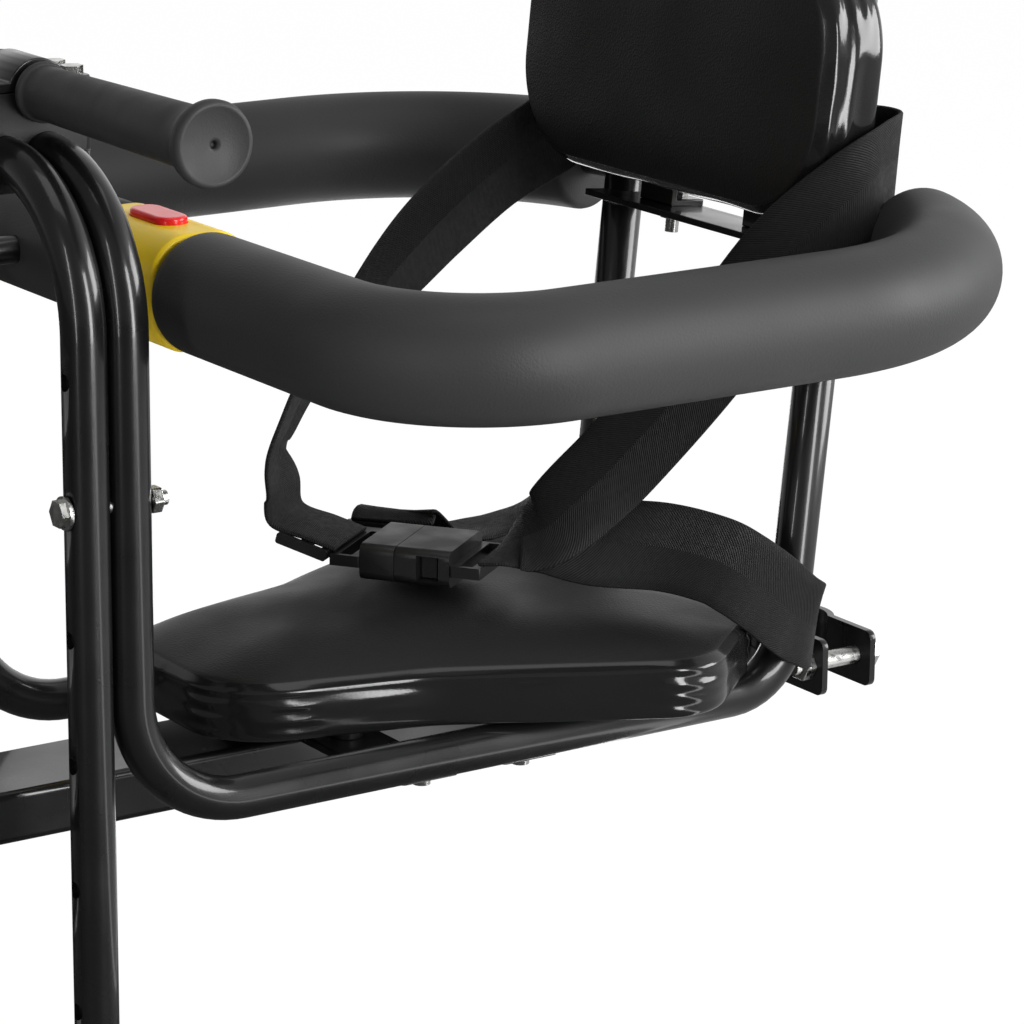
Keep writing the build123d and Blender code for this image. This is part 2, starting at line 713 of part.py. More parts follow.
def ring_stay():
    """The stub from the right front post to the fixed ring tube."""
    length = RING_FRONT_Y - FRONT_Y
    stub = Pos(-POST_X, FRONT_Y + length / 2, RING_Z) * along("y") * Cylinder(STAY_D / 2, length)
    post = Pos(-POST_X, FRONT_Y, RING_Z) * Cylinder(tube_r, TUBE_D * 2)
    rail = Pos(-POST_X, RING_FRONT_Y, RING_Z) * along("x") * Cylinder(ring_tube_r, TUBE_D * 2)
    return stub - post - rail


# Gate lock
lock_place = Pos(LOCK_MID_X, RING_FRONT_Y, RING_Z)
button_pocket = BUTTON_DEPTH + BUTTON_TRAVEL + SPRING_ROOM
pocket_floor = LOCK_H / 2 - button_pocket


def lock_housing():
    section = Plane.YZ * RectangleRounded(LOCK_W, LOCK_H, LOCK_SIDE_R)
    shape = extrude(section, amount=LOCK_L / 2, both=True)
    shape = fillet(shape.edges().group_by(Axis.X)[0] + shape.edges().group_by(Axis.X)[-1], LOCK_EDGE_R)
    bore_mid = -LOCK_L / 2 + TUBE_IN_LOCK / 2
    shape -= Pos(bore_mid, 0, 0) * along("x") * Cylinder(ring_tube_r + FIT_GAP, TUBE_IN_LOCK + FIT_GAP)
    depth = TONGUE_L + 2 * GATE_GAP
    half_w = TONGUE_W / 2 + SOCKET_SIDE
    half_h = TONGUE_H / 2 + SEAT_GAP
    shape -= box((LOCK_L / 2 - depth, LOCK_L / 2 + depth), (-half_w, half_w), (-half_h, half_h))
    pocket = SlotOverall(BUTTON_L + 2 * SEAT_GAP, BUTTON_W + 2 * SEAT_GAP)
    shape -= Pos(0, 0, pocket_floor) * extrude(pocket, amount=button_pocket * 2)
    return lock_place * shape


def lock_button():
    low = LOCK_H / 2 - BUTTON_DEPTH
    shape = Pos(0, 0, low) * extrude(SlotOverall(BUTTON_L, BUTTON_W), amount=BUTTON_DEPTH + BUTTON_PROUD)
    return lock_place * fillet(shape.edges().group_by(Axis.Z)[-1], BUTTON_PROUD / 2)


def button_spring():
    """An arched leaf between the pocket's floor and the button."""
    rise = button_pocket - BUTTON_DEPTH - SEAT_GAP
    half = SPRING_SPAN / 2
    low = pocket_floor
    outer = ThreePointArc((-half, low), (0, low + rise), (half, low))
    inner_half = half - SPRING_T * 2
    inner = ThreePointArc((inner_half, low), (0, low + rise - SPRING_T), (-inner_half, low))
    ends = Line(outer @ 1, inner @ 0) + Line(inner @ 1, outer @ 0)
    leaf = Plane.XZ * make_face((outer + inner + ends).edges())
    return lock_place * extrude(leaf, amount=SPRING_W / 2, both=True)


def lock_bracket():
    """The flat arm from the left front post to the lock's front face."""
    face_y = RING_FRONT_Y - LOCK_W / 2
    half = LOCK_BRACKET_W / 2
    outline = make_face(Polyline(
        (LOCK_MID_X - half, face_y), (LOCK_MID_X + half, face_y), (POST_X, FRONT_Y + tube_r / 2),
        (POST_X - tube_r, FRONT_Y - tube_r / 2), close=True).edges())
    level = RING_Z - LOCK_BRACKET_DROP
    shape = Pos(0, 0, level) * extrude(outline, amount=LOCK_BRACKET_T / 2, both=True)
    return shape - Pos(POST_X, FRONT_Y, level) * Cylinder(tube_r, TUBE_D)


# Handlebar
clamp_mid_y = (FRONT_Y + leg_y) / 2
clamp_half_y = TUBE_D + SEAT_GAP / 2 + CLAMP_FLANGE
clamp_bolt_offset = TUBE_D + SEAT_GAP / 2 + CLAMP_FLANGE / 2
cap_flange_z = BAR_Z + SEAT_GAP
strap_top = ARCH_Z - SEAT_GAP


def handlebar_tube():
    bar = Cylinder(tube_r, 2 * BAR_END_X) - Cylinder(tube_r - TUBE_WALL, 2 * BAR_END_X)
    return Pos(0, handlebar_y, BAR_Z) * along("x") * bar


def arch_tubes(extra):
    """Solid rods where the two arches pass the handlebar clamp."""
    rod = along("x") * Cylinder(tube_r + extra, 4 * CLAMP_HALF_X)
    return Pos(0, FRONT_Y, ARCH_Z) * rod + Pos(0, leg_y, ARCH_Z) * rod


def clamp_bolt_places(z):
    return [
        Pos(x, clamp_mid_y + offset, z)
        for x in (CLAMP_BOLT_X, -CLAMP_BOLT_X)
        for offset in (clamp_bolt_offset, -clamp_bolt_offset)
    ]


def clamp_holes():
    hole = Cylinder(M5[0] / 2 + HOLE_GAP, TUBE_D * 6)
    return group(place * hole for place in clamp_bolt_places(ARCH_Z))


clamp_x = (-CLAMP_HALF_X, CLAMP_HALF_X)
clamp_y = (clamp_mid_y - clamp_half_y, clamp_mid_y + clamp_half_y)


def bar_rod(extra):
    return Pos(0, handlebar_y, BAR_Z) * along("x") * Cylinder(tube_r + extra, 4 * CLAMP_HALF_X)


def bar_saddle():
    """The block between the arches and the handlebar."""
    shape = box(clamp_x, clamp_y, (ARCH_Z + SEAT_GAP, BAR_Z))
    shape = fillet(shape.edges().filter_by(Axis.Z), BEAM_EDGE_R)
    return shape - arch_tubes(FIT_GAP) - bar_rod(FIT_GAP) - clamp_holes()


def bar_cap():
    """The upper clamp half: a hoop over the handlebar with a flat flange on each side."""
    flange = box(clamp_x, clamp_y, (cap_flange_z, cap_flange_z + CLAMP_CAP_T))
    flange = fillet(flange.edges().filter_by(Axis.Z), BEAM_EDGE_R)
    above = box(clamp_x, clamp_y, (cap_flange_z, BAR_Z + 2 * TUBE_D))
    hoop = bar_rod(CLAMP_CAP_T) & above
    return flange + hoop - bar_rod(FIT_GAP) - clamp_holes()


def arch_plate():
    """The plate under both arches that the handlebar bolts pull up."""
    shape = box(clamp_x, clamp_y, (ARCH_Z - tube_r - STRAP_PLATE_T, strap_top))
    shape = fillet(shape.edges().filter_by(Axis.Z), BEAM_EDGE_R)
    return shape - arch_tubes(FIT_GAP) - clamp_holes()


def bar_bolts():
    top = cap_flange_z + CLAMP_CAP_T
    length = top - (ARCH_Z - tube_r - STRAP_PLATE_T) + M5[2] + THREAD_PROUD
    return group(place * bolt(M5, length) for place in clamp_bolt_places(top))


def bar_nuts():
    low = ARCH_Z - tube_r - STRAP_PLATE_T
    return group(place * Rot(180, 0, 0) * nut(M5) for place in clamp_bolt_places(low))


def grip():
    """The left rubber grip: a tapered sleeve with a collar, a rounded end flange and an air hole."""
    bore_r = tube_r + FIT_GAP
    flange_x = GRIP_END_X - GRIP_FLANGE_T
    outline = Polyline(
        (GRIP_START_X, bore_r),
        (GRIP_START_X, GRIP_COLLAR_D / 2),
        (GRIP_START_X + GRIP_COLLAR_T, GRIP_COLLAR_D / 2),
        (GRIP_START_X + GRIP_COLLAR_T, GRIP_INNER_D / 2),
        (flange_x - GRIP_FLANGE_T, GRIP_OUTER_D / 2),
        (flange_x, GRIP_FLANGE_D / 2),
        (GRIP_END_X, GRIP_FLANGE_D / 2),
        (GRIP_END_X, GRIP_HOLE_D / 2),
        (BAR_END_X + FIT_GAP, GRIP_HOLE_D / 2),
        (BAR_END_X + FIT_GAP, bore_r),
        close=True,
    )
    profile = make_face(outline.edges())
    rim = [v for v in profile.vertices() if v.Y > GRIP_FLANGE_D / 2 - FIT_GAP]
    profile = fillet(rim, GRIP_FLANGE_T / 3)
    return Pos(0, handlebar_y, BAR_Z) * revolve(profile, Axis.X)


# Harness
def webbing(stations):
    """A flat strap through stations, each a point on its centre line and the direction of its width."""
    points = [Vector(*point) for point, _ in stations]
    sections = []
    for index, (point, across) in enumerate(stations):
        ahead = points[min(index + 1, len(points) - 1)]
        behind = points[max(index - 1, 0)]
        heading = (ahead - behind).normalized()
        width_dir = Vector(*across)
        width_dir = (width_dir - heading * width_dir.dot(heading)).normalized()
        place = Plane(origin=point, x_dir=width_dir, z_dir=heading)
        sections.append(place * Rectangle(WEB_W, WEB_T))
    return loft(sections, ruled=True)


web_stand_off = tube_r + WEB_T / 2 + SEAT_GAP
lean_up = (0, sin(radians(REAR_LEAN)), cos(radians(REAR_LEAN)))


def behind_post(x, z):
    """A strap station on the back of the rear posts."""
    return ((x, rear_post_y(z) + web_stand_off, z), lean_up)


buckle_across = (-sin(radians(BUCKLE_TURN)), cos(radians(BUCKLE_TURN)), 0)
web_on_bar = ADJUSTER_T / 2 + WEB_T / 2 + FIT_GAP


def on_buckle(x, y, z, facing=1):
    """A strap station on the buckle: distances along, across and above its middle."""
    mid_x, mid_y, mid_z = BUCKLE_MID
    turn = radians(BUCKLE_TURN)
    place = (mid_x + x * cos(turn) - y * sin(turn), mid_y + x * sin(turn) + y * cos(turn), mid_z + z)
    return (place, tuple(facing * part for part in buckle_across))


def web_over_adjuster(x):
    """Height of the strap above the buckle's middle where it rises towards the adjuster."""
    return web_on_bar + (plug_bar_x - x) * tan(radians(ADJUSTER_TILT))


def shoulder_left():
    return webbing([behind_post(x, z) for x, z in SHOULDER_BACK] + list(SHOULDER_LEFT_RUN))


def shoulder_right():
    ends = [
        on_buckle(x, 0, web_over_adjuster(x), -1) for x in (adjuster_far_x, ADJUSTER_X, plug_bar_x)
    ]
    return webbing([behind_post(-x, z) for x, z in SHOULDER_BACK] + list(SHOULDER_RIGHT_RUN) + ends)


def hip_left():
    return webbing(list(HIP_LEFT_RUN) + [on_buckle(socket_bar_x, 0, web_on_bar)])


def hip_right():
    place, _ = on_buckle(SIDE_LOOP_X, side_bar_y, web_on_bar)
    along_plug = (cos(radians(BUCKLE_TURN)), sin(radians(BUCKLE_TURN)), 0)
    return webbing(list(HIP_RIGHT_RUN) + [(place, along_plug)])


buckle_place = Pos(*BUCKLE_MID) * Rot(0, 0, BUCKLE_TURN)
buckle_cavity_w = BUCKLE_W - 4 * BUCKLE_WALL
buckle_cavity_t = BUCKLE_T - 2 * BUCKLE_WALL
bar_frame = 2 * SLOT_BAR + SLOT_L
plug_bar_x = SLOT_BAR / 2 - PLUG_L
socket_bar_x = SOCKET_L + bar_frame - SLOT_BAR / 2
side_bar_y = BUCKLE_W / 2 + bar_frame - SLOT_BAR / 2
adjuster_far_x = ADJUSTER_X - 2 * SLOT_L - SLOT_BAR


def web_frame(start, direction):
    """A flat frame with a slot for the webbing, from start towards direction along X."""
    frame = Box(bar_frame, BUCKLE_W, ADJUSTER_T) - Box(SLOT_L, WEB_W, ADJUSTER_T)
    return Pos(start + direction * bar_frame / 2, 0, 0) * fillet(frame.edges().filter_by(Axis.Z), SLOT_CORNER_R)


def buckle_socket():
    """The female half of the side release buckle, with a window in each side."""
    shape = box((0, SOCKET_L), (-BUCKLE_W / 2, BUCKLE_W / 2), (-BUCKLE_T / 2, BUCKLE_T / 2))
    shape = fillet(shape.edges().filter_by(Axis.X), BUCKLE_T / 4)
    half_w = buckle_cavity_w / 2
    half_t = buckle_cavity_t / 2
    shape -= box((0, SOCKET_L - BUCKLE_WALL), (-half_w, half_w), (-half_t, half_t))
    shape -= box((WINDOW_START_X, WINDOW_END_X), (-BUCKLE_W, BUCKLE_W), (-half_t, half_t))
    return buckle_place * (shape + web_frame(SOCKET_L, 1))


def buckle_plug():
    """The male half: two sprung prongs, a guide between them, and frames for two straps."""
    half_t = buckle_cavity_t / 2 - SEAT_GAP
    prong_w = BUCKLE_WALL * 2
    across = (-BUCKLE_W / 2, BUCKLE_W / 2)
    shape = box((-PLUG_L + bar_frame, -SEAT_GAP), across, (-BUCKLE_T / 2, BUCKLE_T / 2))
    shape = fillet(shape.edges().filter_by(Axis.X), BUCKLE_T / 4)
    prong_high = buckle_cavity_w / 2 - SEAT_GAP
    prong = box((-SEAT_GAP, PRONG_REACH), (prong_high - prong_w, prong_high), (-half_t, half_t))
    guide = box((-SEAT_GAP, PRONG_REACH), (-prong_w / 2, prong_w / 2), (-half_t, half_t))
    shape += prong + mirror(prong, about=Plane.XZ) + guide
    side_frame = Pos(SIDE_LOOP_X, BUCKLE_W / 2, 0) * Rot(0, 0, 90) * web_frame(0, 1)
    return buckle_place * (shape + web_frame(-PLUG_L + bar_frame, -1) + side_frame)


def strap_adjuster():
    frame = Box(2 * SLOT_L + 3 * SLOT_BAR, BUCKLE_W, ADJUSTER_T)
    for x in (1, -1):
        frame -= Pos(x * (SLOT_L + SLOT_BAR) / 2, 0, 0) * Box(SLOT_L, WEB_W, ADJUSTER_T)
    frame = fillet(frame.edges().filter_by(Axis.Y), ADJUSTER_T / 4)
    on_strap = Pos(ADJUSTER_X, 0, web_over_adjuster(ADJUSTER_X)) * Rot(0, ADJUSTER_TILT, 0)
    return buckle_place * on_strap * Pos(0, 0, -web_on_bar) * frame


left_foot = foot_sleeve()
left_grip = grip()

pieces = {
    "main_frame_tube": frame_tube(),
    "rear_post_plugs": post_plugs(),
    "footrest_leg": leg_tube(),
    "leg_bolts": leg_bolts(),
    "leg_nuts": leg_nuts(),
    "foot_sleeve_left": left_foot,
    "foot_sleeve_right": mirror(left_foot, about=Plane.YZ),
    "spine_beam": spine_beam(),
    "slide_bar": slide_bar(),
    "neck_bar": neck_bar(),
    "beam_bolts": beam_bolts(),
    "beam_grip_plates": grip_plates(),
    "beam_nuts": beam_nuts(),
    "seat_post_jaw_rear": jaw(SEAT_POST_R),
    "seat_post_jaw_front": half_turn * jaw(SEAT_POST_R),
    "head_tube_jaw_rear": head_place * jaw(HEAD_TUBE_R),
    "head_tube_jaw_front": head_place * half_turn * jaw(HEAD_TUBE_R),
    "clamp_bolts": clamp_bolts(),
    "clamp_nuts": clamp_nuts(),
    "seat_cross_bars": cross_bars(),
    "seat_board": seat_board(),
    "seat_pad": seat_pad(),
    "seat_screws": seat_screws(),
    "seat_spacers": seat_spacers(),
    "backrest_pad": backrest_pad(),
    "backrest_board": backrest_board(),
    "backrest_bar": back_bar(),
    "backrest_brackets": back_brackets(),
    "backrest_bolts": back_bolts(),
    "backrest_nuts": back_nuts(),
    "backrest_screws": back_screws(),
    "guard_tube": fixed_tube(),
    "guard_foam": fixed_foam(),
    "guard_stay": ring_stay(),
    "gate_tube": gate_tube(),
    "gate_foam": gate_foam(),
    "gate_tongue": gate_tongue(),
    "pivot_clevis_left": clevis_left(),
    "pivot_clevis_right": clevis_right(),
    "pivot_bolts": ring_bolts(),
    "pivot_nuts": ring_nuts(),
    "lock_housing": lock_housing(),
    "lock_button": lock_button(),
    "lock_spring": button_spring(),
    "lock_bracket": lock_bracket(),
    "handlebar_tube": handlebar_tube(),
    "handlebar_saddle": bar_saddle(),
    "handlebar_cap": bar_cap(),
    "arch_plate": arch_plate(),
    "handlebar_bolts": bar_bolts(),
    "handlebar_nuts": bar_nuts(),
    "grip_left": left_grip,
    "grip_right": mirror(left_grip, about=Plane.YZ),
    "shoulder_strap_left": shoulder_left(),
    "shoulder_strap_right": shoulder_right(),
    "hip_strap_left": hip_left(),
    "hip_strap_right": hip_right(),
    "buckle_socket": buckle_socket(),
    "buckle_plug": buckle_plug(),
    "strap_adjuster": strap_adjuster(),
}

os.makedirs("parts", exist_ok=True)
for name, shape in pieces.items():
    export_step(shape, f"parts/{name}.step")
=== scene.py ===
import math

import bpy
import numpy as np
from mathutils import Matrix, Vector, noise


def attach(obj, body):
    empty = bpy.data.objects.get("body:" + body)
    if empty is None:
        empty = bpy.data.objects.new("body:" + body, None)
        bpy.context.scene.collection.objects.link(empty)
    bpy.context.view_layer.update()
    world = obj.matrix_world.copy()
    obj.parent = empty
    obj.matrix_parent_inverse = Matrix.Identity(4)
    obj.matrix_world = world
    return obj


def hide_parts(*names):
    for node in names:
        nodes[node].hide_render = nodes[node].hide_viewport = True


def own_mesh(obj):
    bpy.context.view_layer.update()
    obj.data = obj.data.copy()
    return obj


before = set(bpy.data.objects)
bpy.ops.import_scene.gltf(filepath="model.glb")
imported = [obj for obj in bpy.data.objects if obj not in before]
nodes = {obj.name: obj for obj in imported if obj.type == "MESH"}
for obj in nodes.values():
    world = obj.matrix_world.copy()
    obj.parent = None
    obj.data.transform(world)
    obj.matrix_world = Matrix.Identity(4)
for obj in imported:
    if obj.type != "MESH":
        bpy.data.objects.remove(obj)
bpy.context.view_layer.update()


# Main frame: one length of 18 mm steel tube, bent cold into two side loops, two rear posts and the
# front arch. It is coated in gloss black after welding, with a faint orange peel and soft rub marks.
TUBE_R = 0.009
POST_X = 0.0755
FRONT_Y = -0.386
REAR_Y = -0.065
RAIL_Z = 0.010
ARCH_Z = 0.267
ARCH_R = 0.060
REAR_TOP_Z = 0.312
REAR_LEAN = math.radians(6.0)
FRAME_BENDS = [0.030, 0.050, ARCH_R]
ROUND_SIDES = 48


def rear_post_y(z):
    """Y of a rear post's axis at height z."""
    return REAR_Y + (z - RAIL_Z) * math.tan(REAR_LEAN)


def bent_path(corners, radii, step=0.004):
    """Points along a bent tube's centre line: straight runs joined by arcs."""
    corners = [np.array(c, float) for c in corners]
    points = [corners[0]]
    for before, corner, after, radius in zip(corners, corners[1:], corners[2:], radii):
        inward = (before - corner) / np.linalg.norm(before - corner)
        onward = (after - corner) / np.linalg.norm(after - corner)
        turn = math.pi - math.acos(np.clip(inward @ onward, -1, 1))
        setback = radius * math.tan(turn / 2)
        middle = (inward + onward) / np.linalg.norm(inward + onward)
        centre = corner + middle * radius / math.cos(turn / 2)
        start, end = corner + inward * setback - centre, corner + onward * setback - centre
        count = max(6, int(radius * turn / step))
        for k in range(count + 1):
            share = k / count
            swing = (math.sin((1 - share) * turn) * start + math.sin(share * turn) * end) / math.sin(turn)
            points.append(centre + swing)
    points.append(corners[-1])
    return np.array(points)


def add_piece(name, verts, faces, material, body="frame", smooth=True):
    """A mesh object in the row frame that rides on a body."""
    mesh = bpy.data.meshes.new(name)
    mesh.from_pydata([tuple(v) for v in verts], [], faces)
    mesh.materials.append(material)
    mesh.polygons.foreach_set("use_smooth", [smooth] * len(mesh.polygons))
    mesh.update()
    piece = bpy.data.objects.new(name, mesh)
    bpy.context.scene.collection.objects.link(piece)
    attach(piece, body)
    return piece


def tube_rings(path, radii, sides=ROUND_SIDES):
    """Rings of points round a path, carried along it without twist, with a radius for each point."""
    ahead = np.gradient(path, axis=0)
    ahead /= np.linalg.norm(ahead, axis=1)[:, None]
    spare = np.array([0, 0, 1.0]) if abs(ahead[0][2]) < 0.9 else np.array([0, 1.0, 0])
    side = np.cross(ahead[0], spare)
    rings = []
    turns = np.linspace(0, 2 * math.pi, sides, endpoint=False)
    for point, heading, radius in zip(path, ahead, radii):
        side = side - heading * (side @ heading)
        side /= np.linalg.norm(side)
        up = np.cross(heading, side)
        rings.append(point + radius * (np.outer(np.cos(turns), side) + np.outer(np.sin(turns), up)))
    return np.array(rings)


def skin(rings, closed_ends=True):
    """Vertices and faces between rings of equal counts."""
    count, sides = rings.shape[:2]
    faces = []
    for row in range(count - 1):
        for k in range(sides):
            nxt = (k + 1) % sides
            faces.append((row * sides + k, row * sides + nxt, (row + 1) * sides + nxt, (row + 1) * sides + k))
    if closed_ends:
        faces.append(tuple(reversed(range(sides))))
        faces.append(tuple(range((count - 1) * sides, count * sides)))
    return rings.reshape(-1, 3), faces


def new_material(name, colour, roughness, **sockets):
    """A material with one Principled shader and its plain values."""
    material = bpy.data.materials.new(name)
    material.use_nodes = True
    shader = material.node_tree.nodes["Principled BSDF"]
    shader.inputs["Base Color"].default_value = (*colour, 1)
    shader.inputs["Roughness"].default_value = roughness
    for socket, value in sockets.items():
        shader.inputs[socket.replace("_", " ")].default_value = value
    return material


def add_node(tree, kind, **values):
    """A shader node with its properties set."""
    node = tree.nodes.new(kind)
    for key, value in values.items():
        setattr(node, key, value)
    return node


def new_group(name, inputs, outputs):
    """A shader node group with named float inputs and outputs, and its two end nodes."""
    group = bpy.data.node_groups.new(name, "ShaderNodeTree")
    for socket, value in inputs.items():
        made = group.interface.new_socket(socket, in_out="INPUT", socket_type="NodeSocketFloat")
        made.default_value = value
    for socket in outputs:
        group.interface.new_socket(socket, in_out="OUTPUT", socket_type="NodeSocketFloat")
    return group, group.nodes.new("NodeGroupInput"), group.nodes.new("NodeGroupOutput")


def use_group(material, group, **values):
    """A group placed in a material with its own values."""
    node = add_node(material.node_tree, "ShaderNodeGroup", node_tree=group)
    for socket, value in values.items():
        node.inputs[socket.replace("_", " ")].default_value = value
    return node


# The rub group turns soft cloudy noise into a roughness between two values.
rub, ends_in, ends_out = new_group("rub_marks", {"Scale": 40, "Low": 0.2, "High": 0.4}, ["Roughness"])
place = add_node(rub, "ShaderNodeTexCoord")
cloud = add_node(rub, "ShaderNodeTexNoise")
cloud.inputs["Detail"].default_value = 2
span = add_node(rub, "ShaderNodeMapRange")
span.inputs["From Min"].default_value = 0.35
span.inputs["From Max"].default_value = 0.7
rub.links.new(place.outputs["Object"], cloud.inputs["Vector"])
rub.links.new(ends_in.outputs["Scale"], cloud.inputs["Scale"])
rub.links.new(cloud.outputs["Fac"], span.inputs["Value"])
rub.links.new(ends_in.outputs["Low"], span.inputs["To Min"])
rub.links.new(ends_in.outputs["High"], span.inputs["To Max"])
rub.links.new(span.outputs["Result"], ends_out.inputs["Roughness"])

# The pore group is a fine uneven surface height, as on coated, moulded or foamed skins.
pores, ends_in, ends_out = new_group("fine_pores", {"Scale": 900}, ["Height"])
place = add_node(pores, "ShaderNodeTexCoord")
specks = add_node(pores, "ShaderNodeTexNoise")
specks.inputs["Detail"].default_value = 1
pores.links.new(place.outputs["Object"], specks.inputs["Vector"])
pores.links.new(ends_in.outputs["Scale"], specks.inputs["Scale"])
pores.links.new(specks.outputs["Fac"], ends_out.inputs["Height"])


def finish_surface(material, rub_scale, low, high, grain_scale, depth, grain=pores):
    """Gives a material its rub marks and grain: roughness, and a bump of a real depth in metres."""
    tree = material.node_tree
    shader = tree.nodes["Principled BSDF"]
    marks = use_group(material, rub, Scale=rub_scale, Low=low, High=high)
    tree.links.new(marks.outputs["Roughness"], shader.inputs["Roughness"])
    bump = add_node(tree, "ShaderNodeBump")
    bump.inputs["Distance"].default_value = depth
    tree.links.new(use_group(material, grain, Scale=grain_scale).outputs["Height"], bump.inputs["Height"])
    tree.links.new(bump.outputs["Normal"], shader.inputs["Normal"])


black_coat = new_material("black_coat", (0.006, 0.006, 0.0065), 0.3, Specular_IOR_Level=0.3,
                          Coat_Weight=0.5, Coat_Roughness=0.09)
finish_surface(black_coat, rub_scale=30, low=0.26, high=0.38, grain_scale=500, depth=0.00003)

left_run = [
    (POST_X, rear_post_y(REAR_TOP_Z), REAR_TOP_Z),
    (POST_X, REAR_Y, RAIL_Z),
    (POST_X, FRONT_Y, RAIL_Z),
    (POST_X, FRONT_Y, ARCH_Z),
]
right_run = [(-x, y, z) for x, y, z in reversed(left_run)]
frame_path = bent_path(left_run + right_run, FRAME_BENDS + FRAME_BENDS[::-1])
main_frame = add_piece("frame_tube", *skin(tube_rings(frame_path, [TUBE_R] * len(frame_path))), black_coat)
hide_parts("main_frame_tube")


# Plugs in the rear posts' open ends: moulded black plastic with a domed lip, pressed in.
black_plastic = new_material("black_plastic", (0.008, 0.008, 0.0084), 0.4, Specular_IOR_Level=0.35)
finish_surface(black_plastic, rub_scale=60, low=0.34, high=0.5, grain_scale=1400, depth=0.00005)


def soften(node_name, material, width=0.0008, segments=3):
    """A CAD node that keeps its shape: its edges are eased and it gets its own finish."""
    node = nodes[node_name]
    node.data.materials.clear()
    node.data.materials.append(material)
    joined = node.modifiers.new("joined_faces", "WELD")
    joined.merge_threshold = 0.00001
    bevel = node.modifiers.new("eased_edges", "BEVEL")
    bevel.width = width
    bevel.segments = segments
    bevel.limit_method = "ANGLE"
    bevel.angle_limit = math.radians(40)
    bevel.harden_normals = True
    return node


soften("rear_post_plugs", black_plastic)


# Footrest leg: the same tube bent into a tall arch in front of the frame's, with a row of drilled
# holes down each side for its height, and turned out at the bottom into two pegs.
LEG_GAP = 0.0003
LEG_Y = FRONT_Y - 2 * TUBE_R - LEG_GAP
LEG_BOTTOM_Z = -0.190
PEG_END_X = 0.196
LEG_BEND_R = 0.028
HOLE_TOP_Z = 0.191
HOLE_PITCH = 0.0515
HOLE_COUNT = 7
HOLE_R = 0.0035
HOLE_DEPTH = 0.003

half_leg = [(PEG_END_X, LEG_Y, LEG_BOTTOM_Z), (POST_X, LEG_Y, LEG_BOTTOM_Z), (POST_X, LEG_Y, ARCH_Z)]
leg_corners = half_leg + [(-x, y, z) for x, y, z in reversed(half_leg)]
leg_path = bent_path(leg_corners, [LEG_BEND_R, ARCH_R, ARCH_R, LEG_BEND_R])
leg = add_piece("leg_tube", *skin(tube_rings(leg_path, [TUBE_R] * len(leg_path))), black_coat)
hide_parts("footrest_leg")

for level in range(HOLE_COUNT):
    for side in (1, -1):
        bpy.ops.mesh.primitive_cylinder_add(
            vertices=32, radius=HOLE_R, depth=2 * HOLE_DEPTH, rotation=(math.pi / 2, 0, 0),
            location=(side * POST_X, LEG_Y - TUBE_R, HOLE_TOP_Z - level * HOLE_PITCH))
        drill = bpy.context.object
        cut = leg.modifiers.new("drill", "BOOLEAN")
        cut.object = drill
        cut.operation = "DIFFERENCE"
        bpy.context.view_layer.objects.active = leg
        bpy.ops.object.modifier_apply(modifier="drill")
        bpy.data.objects.remove(drill)


# Foot sleeves: moulded black rubber pushed over the pegs, ribbed for grip.
grip_rubber = new_material("grip_rubber", (0.026, 0.026, 0.027), 0.6, Specular_IOR_Level=0.35)
finish_surface(grip_rubber, rub_scale=50, low=0.52, high=0.7, grain_scale=1300, depth=0.00008)
soften("foot_sleeve_left", grip_rubber, 0.001)
soften("foot_sleeve_right", grip_rubber, 0.001)


# Bolts, nuts and screws: pressed steel with bright zinc plate, a little cloudy from handling.
zinc = new_material("bright_zinc", (0.62, 0.62, 0.6), 0.3, Metallic=1.0)
finish_surface(zinc, rub_scale=300, low=0.2, high=0.42, grain_scale=2500, depth=0.00003)
for fastener in ("leg_bolts", "leg_nuts", "beam_bolts", "beam_nuts", "clamp_bolts", "clamp_nuts",
                 "seat_screws", "backrest_bolts", "backrest_nuts", "backrest_screws", "pivot_bolts",
                 "pivot_nuts", "handlebar_bolts", "handlebar_nuts"):
    soften(fastener, zinc, 0.0006)


# Spine: a flat steel box section with a bar that slides in its rear end, a neck bar welded in its
# front end, and thick plates under the two bolts that set its length. All gloss black.
for steel in ("spine_beam", "slide_bar", "neck_bar", "beam_grip_plates", "seat_cross_bars"):
    soften(steel, black_coat)


# Clamp jaws: 3 mm steel strip pressed round the post, with flat ears for two bolts each.
for steel in ("seat_post_jaw_rear", "seat_post_jaw_front", "head_tube_jaw_rear", "head_tube_jaw_front"):
    soften(steel, black_coat, 0.001)


# Seat board and backrest board: plywood, hidden under the pads but for their undersides.
plywood = new_material("plywood", (0.42, 0.3, 0.17), 0.7)
tree = plywood.node_tree
place = add_node(tree, "ShaderNodeTexCoord")
stretch = add_node(tree, "ShaderNodeMapping")
stretch.inputs["Scale"].default_value = (12, 160, 60)
veins = add_node(tree, "ShaderNodeTexNoise")
veins.inputs["Scale"].default_value = 1.0
veins.inputs["Detail"].default_value = 6
tone = add_node(tree, "ShaderNodeValToRGB")
tone.color_ramp.elements[0].color = (0.3, 0.2, 0.1, 1)
tone.color_ramp.elements[1].color = (0.55, 0.41, 0.25, 1)
tree.links.new(place.outputs["Object"], stretch.inputs["Vector"])
tree.links.new(stretch.outputs["Vector"], veins.inputs["Vector"])
tree.links.new(veins.outputs["Fac"], tone.inputs["Fac"])
tree.links.new(tone.outputs["Color"], tree.nodes["Principled BSDF"].inputs["Base Color"])
soften("seat_board", plywood, 0.0005)
soften("backrest_board", plywood, 0.0005)
soften("seat_spacers", black_plastic, 0.0004)


